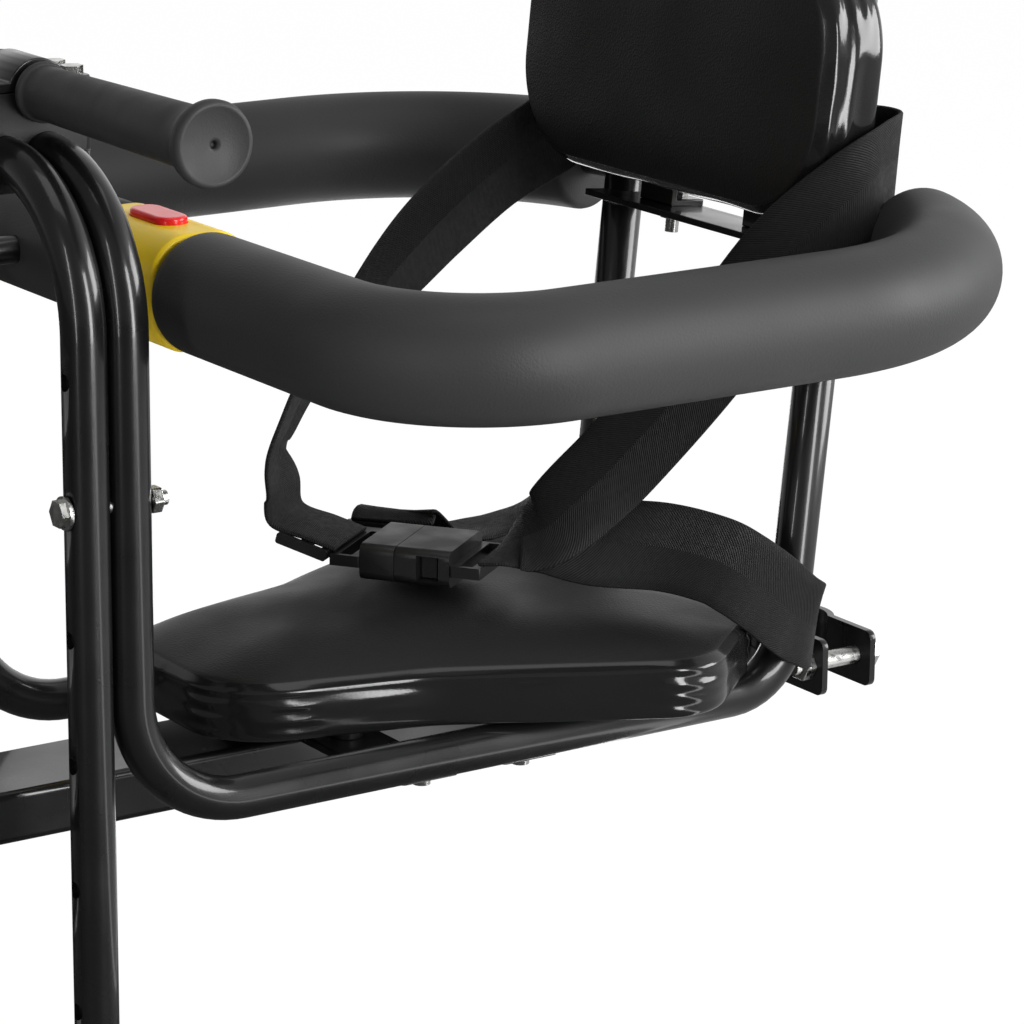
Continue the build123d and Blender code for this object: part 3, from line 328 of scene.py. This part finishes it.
# Seat pad: foam on the board under one sheet of grained black vinyl, pulled down over the edge and
# stapled underneath. The top stays matte, and the tight sides shine, with folds bunched at the bends.
SEAT_CORNERS = [(0.046, -0.329), (0.068, -0.240), (0.121, -0.135), (0.076, -0.083)]
SEAT_BENDS = [0.036, 0.090, 0.030, 0.016]
SEAT_CENTRE = (0.0, -0.185)
SEAT_CROWN = 0.0118
SEAT_SIDE = [(-0.016, 0.0200), (-0.004, 0.0199), (0.0003, 0.0214), (0.0012, 0.0270), (0.0014, 0.0330),
             (0.0010, 0.0395), (-0.0003, 0.0432), (-0.0026, 0.0455)]
SEAT_BUNCHES = [(0.030, 0.010), (0.068, 0.009), (0.240, 0.012), (0.310, 0.010),
                (0.462, 0.010), (0.532, 0.012), (0.704, 0.009), (0.742, 0.010)]
SEAT_CRUMPLE = 0.0004
OUTLINE_STEP = 0.002
SIDE_STEPS = 7
TOP_RINGS = 26
TOP_SPACING = 1.4
CROWN_FULLNESS = 4.5
TOP_SOFTNESS = 0.0006
LONG_FOLD = 0.0009
LONG_FOLD_AT = 0.84
STACK_FOLD = 0.0005
STACK_PITCH = 24
SIDE_ROUGHNESS = 0.13

leather, ends_in, ends_out = new_group("leather_grain", {"Scale": 1100}, ["Height"])
place = add_node(leather, "ShaderNodeTexCoord")
cells = add_node(leather, "ShaderNodeTexVoronoi", feature="F1")
leather.links.new(place.outputs["Object"], cells.inputs["Vector"])
leather.links.new(ends_in.outputs["Scale"], cells.inputs["Scale"])
leather.links.new(cells.outputs["Distance"], ends_out.inputs["Height"])

vinyl = new_material("grained_vinyl", (0.009, 0.009, 0.0095), 0.45)
finish_surface(vinyl, rub_scale=25, low=0.42, high=0.54, grain_scale=1100, depth=0.0001, grain=leather)
tree = vinyl.node_tree
shader = tree.nodes["Principled BSDF"]
on_side = add_node(tree, "ShaderNodeAttribute", attribute_name="side_gloss")
gloss = add_node(tree, "ShaderNodeMix")
gloss.inputs["B"].default_value = SIDE_ROUGHNESS
tree.links.new(on_side.outputs["Fac"], gloss.inputs["Factor"])
tree.links.new(shader.inputs["Roughness"].links[0].from_socket, gloss.inputs["A"])
tree.links.new(gloss.outputs["Result"], shader.inputs["Roughness"])
mirror = add_node(tree, "ShaderNodeMapRange")
mirror.inputs["To Min"].default_value = 0.22
mirror.inputs["To Max"].default_value = 0.5
tree.links.new(on_side.outputs["Fac"], mirror.inputs["Value"])
tree.links.new(mirror.outputs["Result"], shader.inputs["Specular IOR Level"])
grain_left = add_node(tree, "ShaderNodeMapRange")
grain_left.inputs["To Min"].default_value = 1.0
grain_left.inputs["To Max"].default_value = 0.1
tree.links.new(on_side.outputs["Fac"], grain_left.inputs["Value"])
tree.links.new(grain_left.outputs["Result"], shader.inputs["Normal"].links[0].from_node.inputs["Strength"])


def closed_outline(corners, bends, step):
    """Evenly spaced points and outward normals round a closed, rounded outline, from mid front."""
    start = ((corners[0][0] + corners[-1][0]) / 2, (corners[0][1] + corners[-1][1]) / 2)
    line = bent_path([start] + corners + [start], bends, 0.002)[:-1]
    loop = np.vstack([line, line[:1]])
    run = np.concatenate([[0], np.cumsum(np.linalg.norm(np.diff(loop, axis=0), axis=1))])
    even = np.linspace(0, run[-1], int(run[-1] / step), endpoint=False)
    points = np.column_stack([np.interp(even, run, loop[:, k]) for k in (0, 1)])
    along = np.roll(points, -1, 0) - np.roll(points, 1, 0)
    along /= np.linalg.norm(along, axis=1)[:, None]
    return points, np.column_stack([along[:, 1], -along[:, 0]]), even


def spline_through(values, steps):
    """A smooth curve through stations, as many points between each pair as steps."""
    values = np.array(values, float)
    padded = np.vstack([2 * values[0] - values[1], values, 2 * values[-1] - values[-2]])
    out = []
    for k in range(len(values) - 1):
        a, b, c, d = padded[k:k + 4]
        for t in np.linspace(0, 1, steps, endpoint=False):
            out.append(0.5 * (2 * b + (c - a) * t + (2 * a - 5 * b + 4 * c - d) * t ** 2
                              + (3 * b - a - 3 * c + d) * t ** 3))
    return np.array(out + [values[-1]])


def side_folds(run, share, seed, bunches, crumple):
    """How far the tight cover stands out on the side, from its foot (0) to the top edge (1): a long
    fold under the edge, a broken ripple, and short stacked folds where the outline bends."""
    wander = noise.noise(Vector((run * 14, 0, seed)))
    long_fold = math.exp(-(((share - LONG_FOLD_AT - 0.05 * wander) / 0.06) ** 2)) * (0.7 + wander)
    ripple = noise.noise(Vector((run * 26, share * 5, seed + 7)))
    bunched = sum(math.exp(-(((run - at) / width) ** 2)) for at, width in bunches)
    stack = math.sin(share * STACK_PITCH + 3 * noise.noise(Vector((run * 30, seed, 2))))
    return LONG_FOLD * long_fold + crumple * ripple + STACK_FOLD * bunched * stack


def padded_form(name, outline, side, centre, crown, seed, bunches, crumple, material, place):
    """A stuffed cover: an underside flap, creased sides and a crowned top, closed underneath."""
    points, normals, run = outline
    foot, edge_z = side[2][1], side[-1][1]
    profile = spline_through(side, SIDE_STEPS)
    rings = []
    for offset, z in profile:
        share = np.clip((z - foot) / (edge_z - foot), 0, 1)
        ease = math.sin(math.pi * share) ** 0.5
        push = np.array([ease * side_folds(r, share, seed, bunches, crumple) for r in run])
        rings.append(np.column_stack([points + normals * (offset + push)[:, None], np.full(len(run), z)]))
    edge = points + normals * side[-1][0]
    for k in range(1, TOP_RINGS):
        share = 1 - (k / TOP_RINGS) ** TOP_SPACING
        flat = np.array(centre) + (edge - np.array(centre)) * share
        dome = edge_z + crown * (1 - share ** CROWN_FULLNESS)
        soft = [TOP_SOFTNESS * noise.noise(Vector((x * 22, y * 22, seed))) for x, y in flat]
        rings.append(np.column_stack([flat, dome + np.array(soft)]))
    verts, faces = skin(np.array(rings))
    piece = add_piece(name, [place @ Vector(v) for v in verts], faces, material)
    shine = np.zeros(len(rings))
    shine[:len(profile) - 2] = 1.0
    shine[len(profile) - 2] = 0.6
    mask = piece.data.attributes.new("side_gloss", "FLOAT", "POINT")
    mask.data.foreach_set("value", np.repeat(shine, len(run)))
    return piece


seat_loop = SEAT_CORNERS + [(-x, y) for x, y in reversed(SEAT_CORNERS)]
seat_outline = closed_outline(seat_loop, SEAT_BENDS + SEAT_BENDS[::-1], OUTLINE_STEP)
seat_pad = padded_form("seat_cushion", seat_outline, SEAT_SIDE, SEAT_CENTRE, SEAT_CROWN, 3.0, SEAT_BUNCHES,
                       SEAT_CRUMPLE, vinyl, Matrix.Identity(4))
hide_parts("seat_pad")


# Backrest pad: the same vinyl over foam on a rounded board, leaning back with the rear posts. Its
# side is slacker than the seat's, and the cover lies there in loose glossy creases.
BACK_W = 0.218
BACK_H = 0.112
BACK_CORNER_R = 0.044
BACK_MID_Z = 0.273
BACK_REAR = 0.0093
BACK_SIDE = [(-0.016, -0.0006), (-0.004, -0.0007), (0.0005, 0.0014), (0.0016, 0.0080), (0.0018, 0.0150),
             (0.0014, 0.0225), (0.0002, 0.0272), (-0.0026, 0.0302)]
BACK_CROWN = 0.0042
BACK_BUNCHES = [(0.100, 0.026), (0.193, 0.026), (0.392, 0.026), (0.485, 0.026)]
BACK_CRUMPLE = 0.0013

back_up = Vector((0, math.sin(REAR_LEAN), math.cos(REAR_LEAN)))
back_out = Vector((0, -math.cos(REAR_LEAN), math.sin(REAR_LEAN)))
back_origin = Vector((0, rear_post_y(BACK_MID_Z), BACK_MID_Z)) + back_out * BACK_REAR
back_axes = Matrix((Vector((1, 0, 0)), back_up, back_out)).transposed()
back_place = Matrix.Translation(back_origin) @ back_axes.to_4x4()
half_w, half_h = BACK_W / 2, BACK_H / 2
back_corners = [(half_w, -half_h), (half_w, half_h), (-half_w, half_h), (-half_w, -half_h)]
back_outline = closed_outline(back_corners, [BACK_CORNER_R] * 4, OUTLINE_STEP)
backrest = padded_form("backrest_cushion", back_outline, BACK_SIDE, (0, 0), BACK_CROWN, 11.0, BACK_BUNCHES,
                       BACK_CRUMPLE, vinyl, back_place)
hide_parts("backrest_pad")
for steel in ("backrest_bar", "backrest_brackets"):
    soften(steel, black_coat)


# Guard ring: 16 mm tube under thick foam sleeves. The right half is fixed to the frame, and the left
# half is the gate, which swings on the bolt at the rear left post.
RING_X = 0.205
RING_Z = 0.210
RING_FRONT_Y = -0.331
RING_REAR_Y = -0.029
RING_FRONT_R = 0.060
RING_REAR_R = 0.116
FOAM_R = 0.025
RING_TUBE_R = 0.008
GATE_START_X = 0.0396
FIXED_START_X = 0.0310
FOAM_END_GAP = 0.030
FOAM_TURN = math.pi / 2 - FOAM_END_GAP / RING_REAR_R
FOAM_LIP = [(0, FOAM_R - RING_TUBE_R), (0.0001, 0.0032), (0.0006, 0.0016), (0.0016, 0.0006), (0.0032, 0.0001),
            (0.006, 0)]

foam = new_material("closed_cell_foam", (0.030, 0.030, 0.0305), 0.55, Specular_IOR_Level=0.3)
finish_surface(foam, rub_scale=18, low=0.5, high=0.6, grain_scale=1000, depth=0.0001)


def foam_path(start_x, side):
    """The ring's centre line on one side, from the lock to the foam's rear end."""
    line = [np.array((start_x, RING_FRONT_Y))]
    for k in range(25):
        turn = math.pi / 2 * k / 24
        line.append(np.array((RING_X - RING_FRONT_R + RING_FRONT_R * math.sin(turn),
                              RING_FRONT_Y + RING_FRONT_R - RING_FRONT_R * math.cos(turn))))
    for k in range(41):
        turn = FOAM_TURN * k / 40
        line.append(np.array((RING_X - RING_REAR_R + RING_REAR_R * math.cos(turn),
                              RING_REAR_Y - RING_REAR_R + RING_REAR_R * math.sin(turn))))
    line = np.array(line)
    run = np.concatenate([[0], np.cumsum(np.linalg.norm(np.diff(line, axis=0), axis=1))])
    lip = np.array([along for along, inset in FOAM_LIP])
    even = np.concatenate([lip, np.linspace(0.01, run[-1] - 0.01, 120), run[-1] - lip[::-1]])
    radii = np.full(len(even), FOAM_R)
    rounded = np.array([FOAM_R - inset for along, inset in FOAM_LIP])
    radii[:len(lip)], radii[-len(lip):] = rounded, rounded[::-1]
    path = np.column_stack([np.interp(even, run, line[:, k]) for k in (0, 1)] + [np.full(len(even), RING_Z)])
    return path * np.array((side, 1, 1)), radii


for name, start_x, side, body, node in (("foam_fixed", FIXED_START_X, -1, "frame", "guard_foam"),
                                        ("foam_gate", GATE_START_X, 1, "gate", "gate_foam")):
    path, radii = foam_path(start_x, side)
    sleeve = add_piece(name, *skin(tube_rings(path, radii, 64)), foam, body)
    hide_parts(node)
for steel in ("guard_tube", "gate_tube", "guard_stay", "pivot_clevis_left", "pivot_clevis_right",
              "lock_bracket"):
    soften(steel, black_coat, 0.0005)
soften("gate_tongue", black_plastic)


# Lock: a yellow moulded housing on the fixed rail that takes the gate's tongue, with a red push
# button on a leaf spring in its top.
yellow = new_material("yellow_moulding", (0.90, 0.62, 0.012), 0.4, Specular_IOR_Level=0.35)
finish_surface(yellow, rub_scale=60, low=0.3, high=0.45, grain_scale=900, depth=0.00004)
red = new_material("red_button", (0.72, 0.010, 0.014), 0.25, Coat_Weight=0.1, Coat_Roughness=0.1)
finish_surface(red, rub_scale=80, low=0.14, high=0.28, grain_scale=800, depth=0.00003)
soften("lock_housing", yellow, 0.001)
soften("lock_button", red, 0.0006)
spring = soften("lock_spring", zinc, 0.0001)
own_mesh(spring)


# Handlebar: a short tube on a clamp over both arches, with a rubber grip pushed on each end.
for plastic in ("handlebar_saddle", "arch_plate"):
    soften(plastic, black_plastic)
soften("handlebar_cap", black_coat)
soften("handlebar_tube", black_coat, 0.0004)
BAR_Y = -0.389
BAR_Z = 0.2925
GRIP_PROFILE = [(0.016, 0.0092), (0.016, 0.0112), (0.0168, 0.012), (0.0192, 0.012), (0.0199, 0.0113),
                (0.0201, 0.0107), (0.022, 0.0107), (0.06, 0.0112), (0.1, 0.0117), (0.130, 0.0121),
                (0.138, 0.0126), (0.143, 0.0142), (0.1455, 0.0158), (0.147, 0.0164), (0.1495, 0.0165),
                (0.1512, 0.0160), (0.152, 0.0150), (0.1519, 0.0140), (0.1512, 0.0134), (0.1512, 0.0030),
                (0.1509, 0.0018), (0.1495, 0.0014), (0.1485, 0.0014)]
for name, side in (("grip_left", 1), ("grip_right", -1)):
    turns = np.linspace(0, 2 * math.pi, 72, endpoint=False)
    rings = np.array([[(side * x, BAR_Y + r * math.cos(a), BAR_Z + side * r * math.sin(a)) for a in turns]
                      for x, r in GRIP_PROFILE])
    sleeve = add_piece(name + "_sleeve", *skin(rings), grip_rubber)
    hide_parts(name)


# Harness: 38 mm woven webbing over the shoulders and round the hips, with a twill face. It goes
# behind the rear posts, and the four ends meet at the buckle in front.
WEB_W = 0.038
WEB_T = 0.0018
WEB_GAP = 0.0003
WEB_BACK = TUBE_R + WEB_T / 2 + WEB_GAP
SELVEDGE = 0.0006
SELVEDGE_FLAT = 0.0003

twill, ends_in, ends_out = new_group("twill_weave", {"Pitch": 900, "Slope": 0.8}, ["Height"])
place = add_node(twill, "ShaderNodeUVMap", uv_map="weave")
axes = add_node(twill, "ShaderNodeSeparateXYZ")
chevron = add_node(twill, "ShaderNodeMath", operation="PINGPONG")
chevron.inputs[1].default_value = 0.019
slant = add_node(twill, "ShaderNodeMath", operation="ADD")
tilt = add_node(twill, "ShaderNodeMath", operation="MULTIPLY")
count = add_node(twill, "ShaderNodeMath", operation="MULTIPLY")
wave = add_node(twill, "ShaderNodeMath", operation="PINGPONG")
wave.inputs[1].default_value = 0.5
twill.links.new(place.outputs["UV"], axes.inputs["Vector"])
twill.links.new(axes.outputs["X"], chevron.inputs[0])
twill.links.new(chevron.outputs["Value"], tilt.inputs[0])
twill.links.new(ends_in.outputs["Slope"], tilt.inputs[1])
twill.links.new(tilt.outputs["Value"], slant.inputs[0])
twill.links.new(axes.outputs["Y"], slant.inputs[1])
twill.links.new(slant.outputs["Value"], count.inputs[0])
twill.links.new(ends_in.outputs["Pitch"], count.inputs[1])
twill.links.new(count.outputs["Value"], wave.inputs[0])
twill.links.new(wave.outputs["Value"], ends_out.inputs["Height"])

webbing = new_material("black_webbing", (0.006, 0.006, 0.0063), 0.7, Specular_IOR_Level=0.25)
tree = webbing.node_tree
bump = add_node(tree, "ShaderNodeBump")
bump.inputs["Distance"].default_value = 0.0006
tree.links.new(use_group(webbing, twill).outputs["Height"], bump.inputs["Height"])
tree.links.new(bump.outputs["Normal"], tree.nodes["Principled BSDF"].inputs["Normal"])
tree.links.new(use_group(webbing, rub, Scale=400, Low=0.6, High=0.74).outputs["Roughness"],
               tree.nodes["Principled BSDF"].inputs["Roughness"])


def strap(name, stations, node, steps=10):
    """A flat woven strap with rounded selvedges, through stations of a point and its width's direction."""
    line = spline_through([p for p, w in stations], steps)
    across = spline_through([w for p, w in stations], steps)
    ahead = np.gradient(line, axis=0)
    ahead /= np.linalg.norm(ahead, axis=1)[:, None]
    across -= ahead * np.sum(across * ahead, axis=1)[:, None]
    across /= np.linalg.norm(across, axis=1)[:, None]
    face = np.cross(ahead, across)
    run = np.concatenate([[0], np.cumsum(np.linalg.norm(np.diff(line, axis=0), axis=1))])
    half_w, half_t = WEB_W / 2, WEB_T / 2
    upper = [(w, half_t) for w in np.linspace(-half_w + SELVEDGE, half_w - SELVEDGE, 9)]
    section = upper + [(half_w, SELVEDGE_FLAT), (half_w, -SELVEDGE_FLAT)]
    section += [(w, -t) for w, t in reversed(upper)] + [(-half_w, -SELVEDGE_FLAT), (-half_w, SELVEDGE_FLAT)]
    rings = np.array([[p + a * w + f * t for w, t in section] for p, a, f in zip(line, across, face)])
    verts, faces = skin(rings)
    piece = add_piece(name, verts, faces, webbing)
    uv = piece.data.uv_layers.new(name="weave")
    for loop in piece.data.loops:
        row, col = divmod(loop.vertex_index, len(section))
        uv.data[loop.index].uv = (section[col][0] + half_w, run[row])
    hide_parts(node)
    return piece


def behind_post(x, z):
    """A strap station on the back of the rear posts."""
    return ((x, rear_post_y(z) + WEB_BACK, z), tuple(back_up))


BUCKLE_MID = np.array((-0.0105, -0.2007, 0.070))
BUCKLE_TURN = math.radians(37)
BUCKLE_ALONG = np.array((math.cos(BUCKLE_TURN), math.sin(BUCKLE_TURN), 0))
BUCKLE_ACROSS = np.array((-math.sin(BUCKLE_TURN), math.cos(BUCKLE_TURN), 0))
BUCKLE_BAR_R = 0.0025
WEB_ON_BAR = BUCKLE_BAR_R + WEB_T / 2 + 0.0001
PLUG_BAR_X = -0.028
SOCKET_BAR_X = 0.037
SIDE_LOOP_X, SIDE_BAR_Y = -0.0215, 0.033
ADJUSTER_X = -0.042
ADJUSTER_FAR_X = -0.058
ADJUSTER_RISE = math.tan(math.radians(16))


def on_buckle(x, y, z):
    """A place on the buckle: distances along, across and above its middle."""
    return tuple(BUCKLE_MID + BUCKLE_ALONG * x + BUCKLE_ACROSS * y + np.array((0, 0, z)))


def rising(x):
    """A strap station on the slope up from the buckle's plug to the adjuster."""
    return on_buckle(x, 0, WEB_ON_BAR + (PLUG_BAR_X - x) * ADJUSTER_RISE), tuple(-BUCKLE_ACROSS)


strap("shoulder_web_left", [
    behind_post(0.0001, 0.230), behind_post(0.030, 0.230), behind_post(0.056, 0.236),
    behind_post(0.080, 0.244),
    ((0.099, -0.029, 0.2445), (0, 0.1, 1)), ((0.1105, -0.044, 0.243), (0, 0, 1)),
    ((0.1165, -0.063, 0.235), (-0.2, -0.2, 1)), ((0.104, -0.091, 0.208), (-0.45, -0.45, 0.75)),
    ((0.0735, -0.110, 0.1577), (-0.56, -0.57, 0.6)), ((0.0545, -0.134, 0.120), (-0.58, -0.5, 0.62)),
    ((0.0465, -0.150, 0.102), (-0.64, -0.25, 0.68)), ((0.0405, -0.1640, 0.0885), (-0.72, 0.12, 0.64)),
    ((0.0315, -0.1715, 0.0820), (-0.72, 0.45, 0.42))], "shoulder_strap_left")
strap("shoulder_web_right", [
    behind_post(-0.0001, 0.230), behind_post(-0.030, 0.230), behind_post(-0.056, 0.238),
    behind_post(-0.080, 0.250), ((-0.102, -0.040, 0.244), (-0.2, 0, 1)),
    ((-0.111, -0.058, 0.226), (-0.25, -0.3, 0.92)),
    ((-0.102, -0.095, 0.214), (0, -0.55, 0.83)), ((-0.085, -0.138, 0.197), (0.1, -0.7, 0.7)),
    ((-0.072, -0.175, 0.176), (0.3, -0.8, 0.5)), ((-0.064, -0.214, 0.145), (0.65, -0.7, 0.3)),
    ((-0.0575, -0.235, 0.121), (0.72, -0.66, 0.2)), ((-0.0585, -0.240, 0.107), (0.72, -0.66, 0.1)),
    ((-0.0586, -0.2369, 0.094), (0.6, -0.8, 0)), rising(ADJUSTER_FAR_X), rising(ADJUSTER_X),
    rising(PLUG_BAR_X)], "shoulder_strap_right")
strap("hip_web_left", [
    ((0.068, -0.0515, 0.036), (0, 0.1, 1)), ((0.0765, -0.0503, 0.037), (0, 0.1, 1)),
    ((0.0872, -0.0565, 0.039), (0, 0.15, 1)), ((0.089, -0.068, 0.046), (0, 0.1, 1)),
    ((0.0885, -0.082, 0.058), (0, 0.1, 1)), ((0.0865, -0.096, 0.0685), (0, 0.25, 0.95)),
    ((0.081, -0.1065, 0.075), (0, 0.4, 0.9)), ((0.067, -0.124, 0.080), (0, 0.45, 0.88)),
    ((0.051, -0.148, 0.0815), (-0.35, 0.4, 0.82)), ((0.0375, -0.1625, 0.0835), (-0.7, 0.3, 0.6)),
    ((0.027, -0.172, 0.0800), (-0.7, 0.6, 0.3)),
    (on_buckle(SOCKET_BAR_X, 0, WEB_ON_BAR), tuple(BUCKLE_ACROSS))], "hip_strap_left")
strap("hip_web_right", [
    ((-0.0653, -0.056, 0.045), (0, 0, 1)), ((-0.0643, -0.070, 0.056), (0, 0, 1)),
    ((-0.062, -0.090, 0.074), (0.5, 0, 0.85)), ((-0.060, -0.122, 0.0615), (1, 0, 0.15)),
    ((-0.055, -0.155, 0.062), (1, 0.2, 0.05)), ((-0.0541, -0.1784, 0.0755), (0.8, 0.6, 0)),
    (on_buckle(SIDE_LOOP_X, SIDE_BAR_Y, WEB_ON_BAR), tuple(BUCKLE_ALONG))], "hip_strap_right")


# Buckle and strap adjuster: black moulded nylon, the socket and plug of a side release buckle and a
# two slot slider.
for plastic in ("buckle_socket", "buckle_plug", "strap_adjuster"):
    soften(plastic, black_plastic, 0.0008)


# Studio: a plain pale floor in a white room that is darker above and behind the camera. In reflections
# the floor is dark towards the camera, with one lit lane that draws the streaks down the tubes. Soft
# lights stand overhead and on the right, and the camera where the photograph was taken from.
FLOOR_Z = -0.207
CAMERA_AT = (1.4675, -1.1448, 0.5721)
CAMERA_LENS = 148.44
CAMERA_SHIFT = 0.1174
CAMERA_RIGHT = Vector((0.5343, 0.8453, 0.0))
CAMERA_UP = Vector((-0.2247, 0.1420, 0.9640))
CAMERA_BACK = Vector((0.8149, -0.5151, 0.2658))
DARK_SIDE = Vector((0.347, -0.716, 0.607))
FLOOR_DARK_SIDE = Vector((-0.042, -0.999, 0.0))
FLOOR_LANES = [(0.0, 0.5), (0.33, 0.35), (0.36, 3.5), (0.41, 3.5), (0.44, 0.03), (1.0, 0.02)]

backdrop = bpy.data.materials.new("pale_backdrop")
backdrop.use_nodes = True
tree = backdrop.node_tree
tree.nodes["Principled BSDF"].inputs["Base Color"].default_value = (0.8, 0.8, 0.8, 1)
tree.nodes["Principled BSDF"].inputs["Roughness"].default_value = 0.9
glow = add_node(tree, "ShaderNodeEmission")
seen = add_node(tree, "ShaderNodeLightPath")
spot = add_node(tree, "ShaderNodeTexCoord")
bearing = add_node(tree, "ShaderNodeVectorMath", operation="NORMALIZE")
facing = add_node(tree, "ShaderNodeVectorMath", operation="DOT_PRODUCT")
facing.inputs[1].default_value = FLOOR_DARK_SIDE
sweep = add_node(tree, "ShaderNodeMapRange")
sweep.inputs["From Min"].default_value = -1.0
lanes = add_node(tree, "ShaderNodeValToRGB")
while len(lanes.color_ramp.elements) < len(FLOOR_LANES):
    lanes.color_ramp.elements.new(0.5)
for stop, (place, tone) in zip(lanes.color_ramp.elements, FLOOR_LANES):
    stop.position = place
    stop.color = (tone, tone, tone, 1)
strength = add_node(tree, "ShaderNodeMix")
strength.inputs["B"].default_value = 1.05
bright = add_node(tree, "ShaderNodeMath", operation="MAXIMUM")
share = add_node(tree, "ShaderNodeMath", operation="MULTIPLY")
share.inputs[1].default_value = 0.92
tree.links.new(spot.outputs["Object"], bearing.inputs[0])
tree.links.new(bearing.outputs["Vector"], facing.inputs[0])
tree.links.new(facing.outputs["Value"], sweep.inputs["Value"])
tree.links.new(sweep.outputs["Result"], lanes.inputs["Fac"])
tree.links.new(lanes.outputs["Color"], strength.inputs["A"])
tree.links.new(seen.outputs["Is Camera Ray"], strength.inputs["Factor"])
tree.links.new(strength.outputs["Result"], glow.inputs["Strength"])
mixed = add_node(tree, "ShaderNodeMixShader")
tree.links.new(seen.outputs["Is Camera Ray"], bright.inputs[0])
tree.links.new(seen.outputs["Is Glossy Ray"], bright.inputs[1])
tree.links.new(bright.outputs["Value"], share.inputs[0])
tree.links.new(share.outputs["Value"], mixed.inputs["Fac"])
tree.links.new(tree.nodes["Principled BSDF"].outputs["BSDF"], mixed.inputs[1])
tree.links.new(glow.outputs["Emission"], mixed.inputs[2])
tree.links.new(mixed.outputs["Shader"], tree.nodes["Material Output"].inputs["Surface"])
bpy.ops.mesh.primitive_plane_add(size=12, location=(0, 0, FLOOR_Z))
floor = bpy.context.object
floor.name = "floor"
floor.data.materials.append(backdrop)

world = bpy.data.worlds.new("studio")
bpy.context.scene.world = world
world.use_nodes = True
tree = world.node_tree
tree.nodes["Background"].inputs["Color"].default_value = (1, 1, 1, 1)
room = add_node(tree, "ShaderNodeTexCoord")
towards = add_node(tree, "ShaderNodeVectorMath", operation="DOT_PRODUCT")
towards.inputs[1].default_value = DARK_SIDE
dim = add_node(tree, "ShaderNodeMapRange")
dim.inputs["From Min"].default_value = -0.6
dim.inputs["From Max"].default_value = 0.5
dim.inputs["To Min"].default_value = 1.0
dim.inputs["To Max"].default_value = 0.2
sky = add_node(tree, "ShaderNodeLightPath")
level = add_node(tree, "ShaderNodeMix")
level.inputs["B"].default_value = 1.0
tree.links.new(room.outputs["Generated"], towards.inputs[0])
tree.links.new(towards.outputs["Value"], dim.inputs["Value"])
tree.links.new(sky.outputs["Is Camera Ray"], level.inputs["Factor"])
tree.links.new(dim.outputs["Result"], level.inputs["A"])
tree.links.new(level.outputs["Result"], tree.nodes["Background"].inputs["Strength"])

for name, at, aim, size, power in (
        ("overhead", (0.2, -0.3, 1.9), (0.0, -0.2, 0.1), (1.4, 1.0), 5),
        ("right_rear", (1.1, 1.5, 0.7), (0.1, -0.1, 0.15), (1.0, 1.2), 36),
        ("front_strip", (0.9, -1.9, 0.6), (0.0, -0.3, 0.1), (0.14, 1.6), 7),
        ("side_box", (1.95, 0.05, 0.5), (0.05, -0.3, 0.1), (0.45, 1.6), 32)):
    lamp = bpy.data.lights.new(name, "AREA")
    lamp.shape = "RECTANGLE"
    lamp.size, lamp.size_y = size
    lamp.energy = power
    holder = bpy.data.objects.new(name, lamp)
    holder.location = at
    holder.rotation_euler = (Vector(aim) - Vector(at)).to_track_quat("-Z", "Y").to_euler()
    bpy.context.scene.collection.objects.link(holder)

camera = bpy.data.cameras.new("photo_view")
camera.sensor_width = 36.0
camera.lens = CAMERA_LENS
camera.shift_x = CAMERA_SHIFT
camera.clip_start = 0.01
view = bpy.data.objects.new("photo_view", camera)
view.matrix_world = Matrix.Translation(CAMERA_AT) @ Matrix(
    (CAMERA_RIGHT, CAMERA_UP, CAMERA_BACK)).transposed().to_4x4()
bpy.context.scene.collection.objects.link(view)
bpy.context.scene.camera = view
bpy.context.scene.view_settings.view_transform = "Standard"
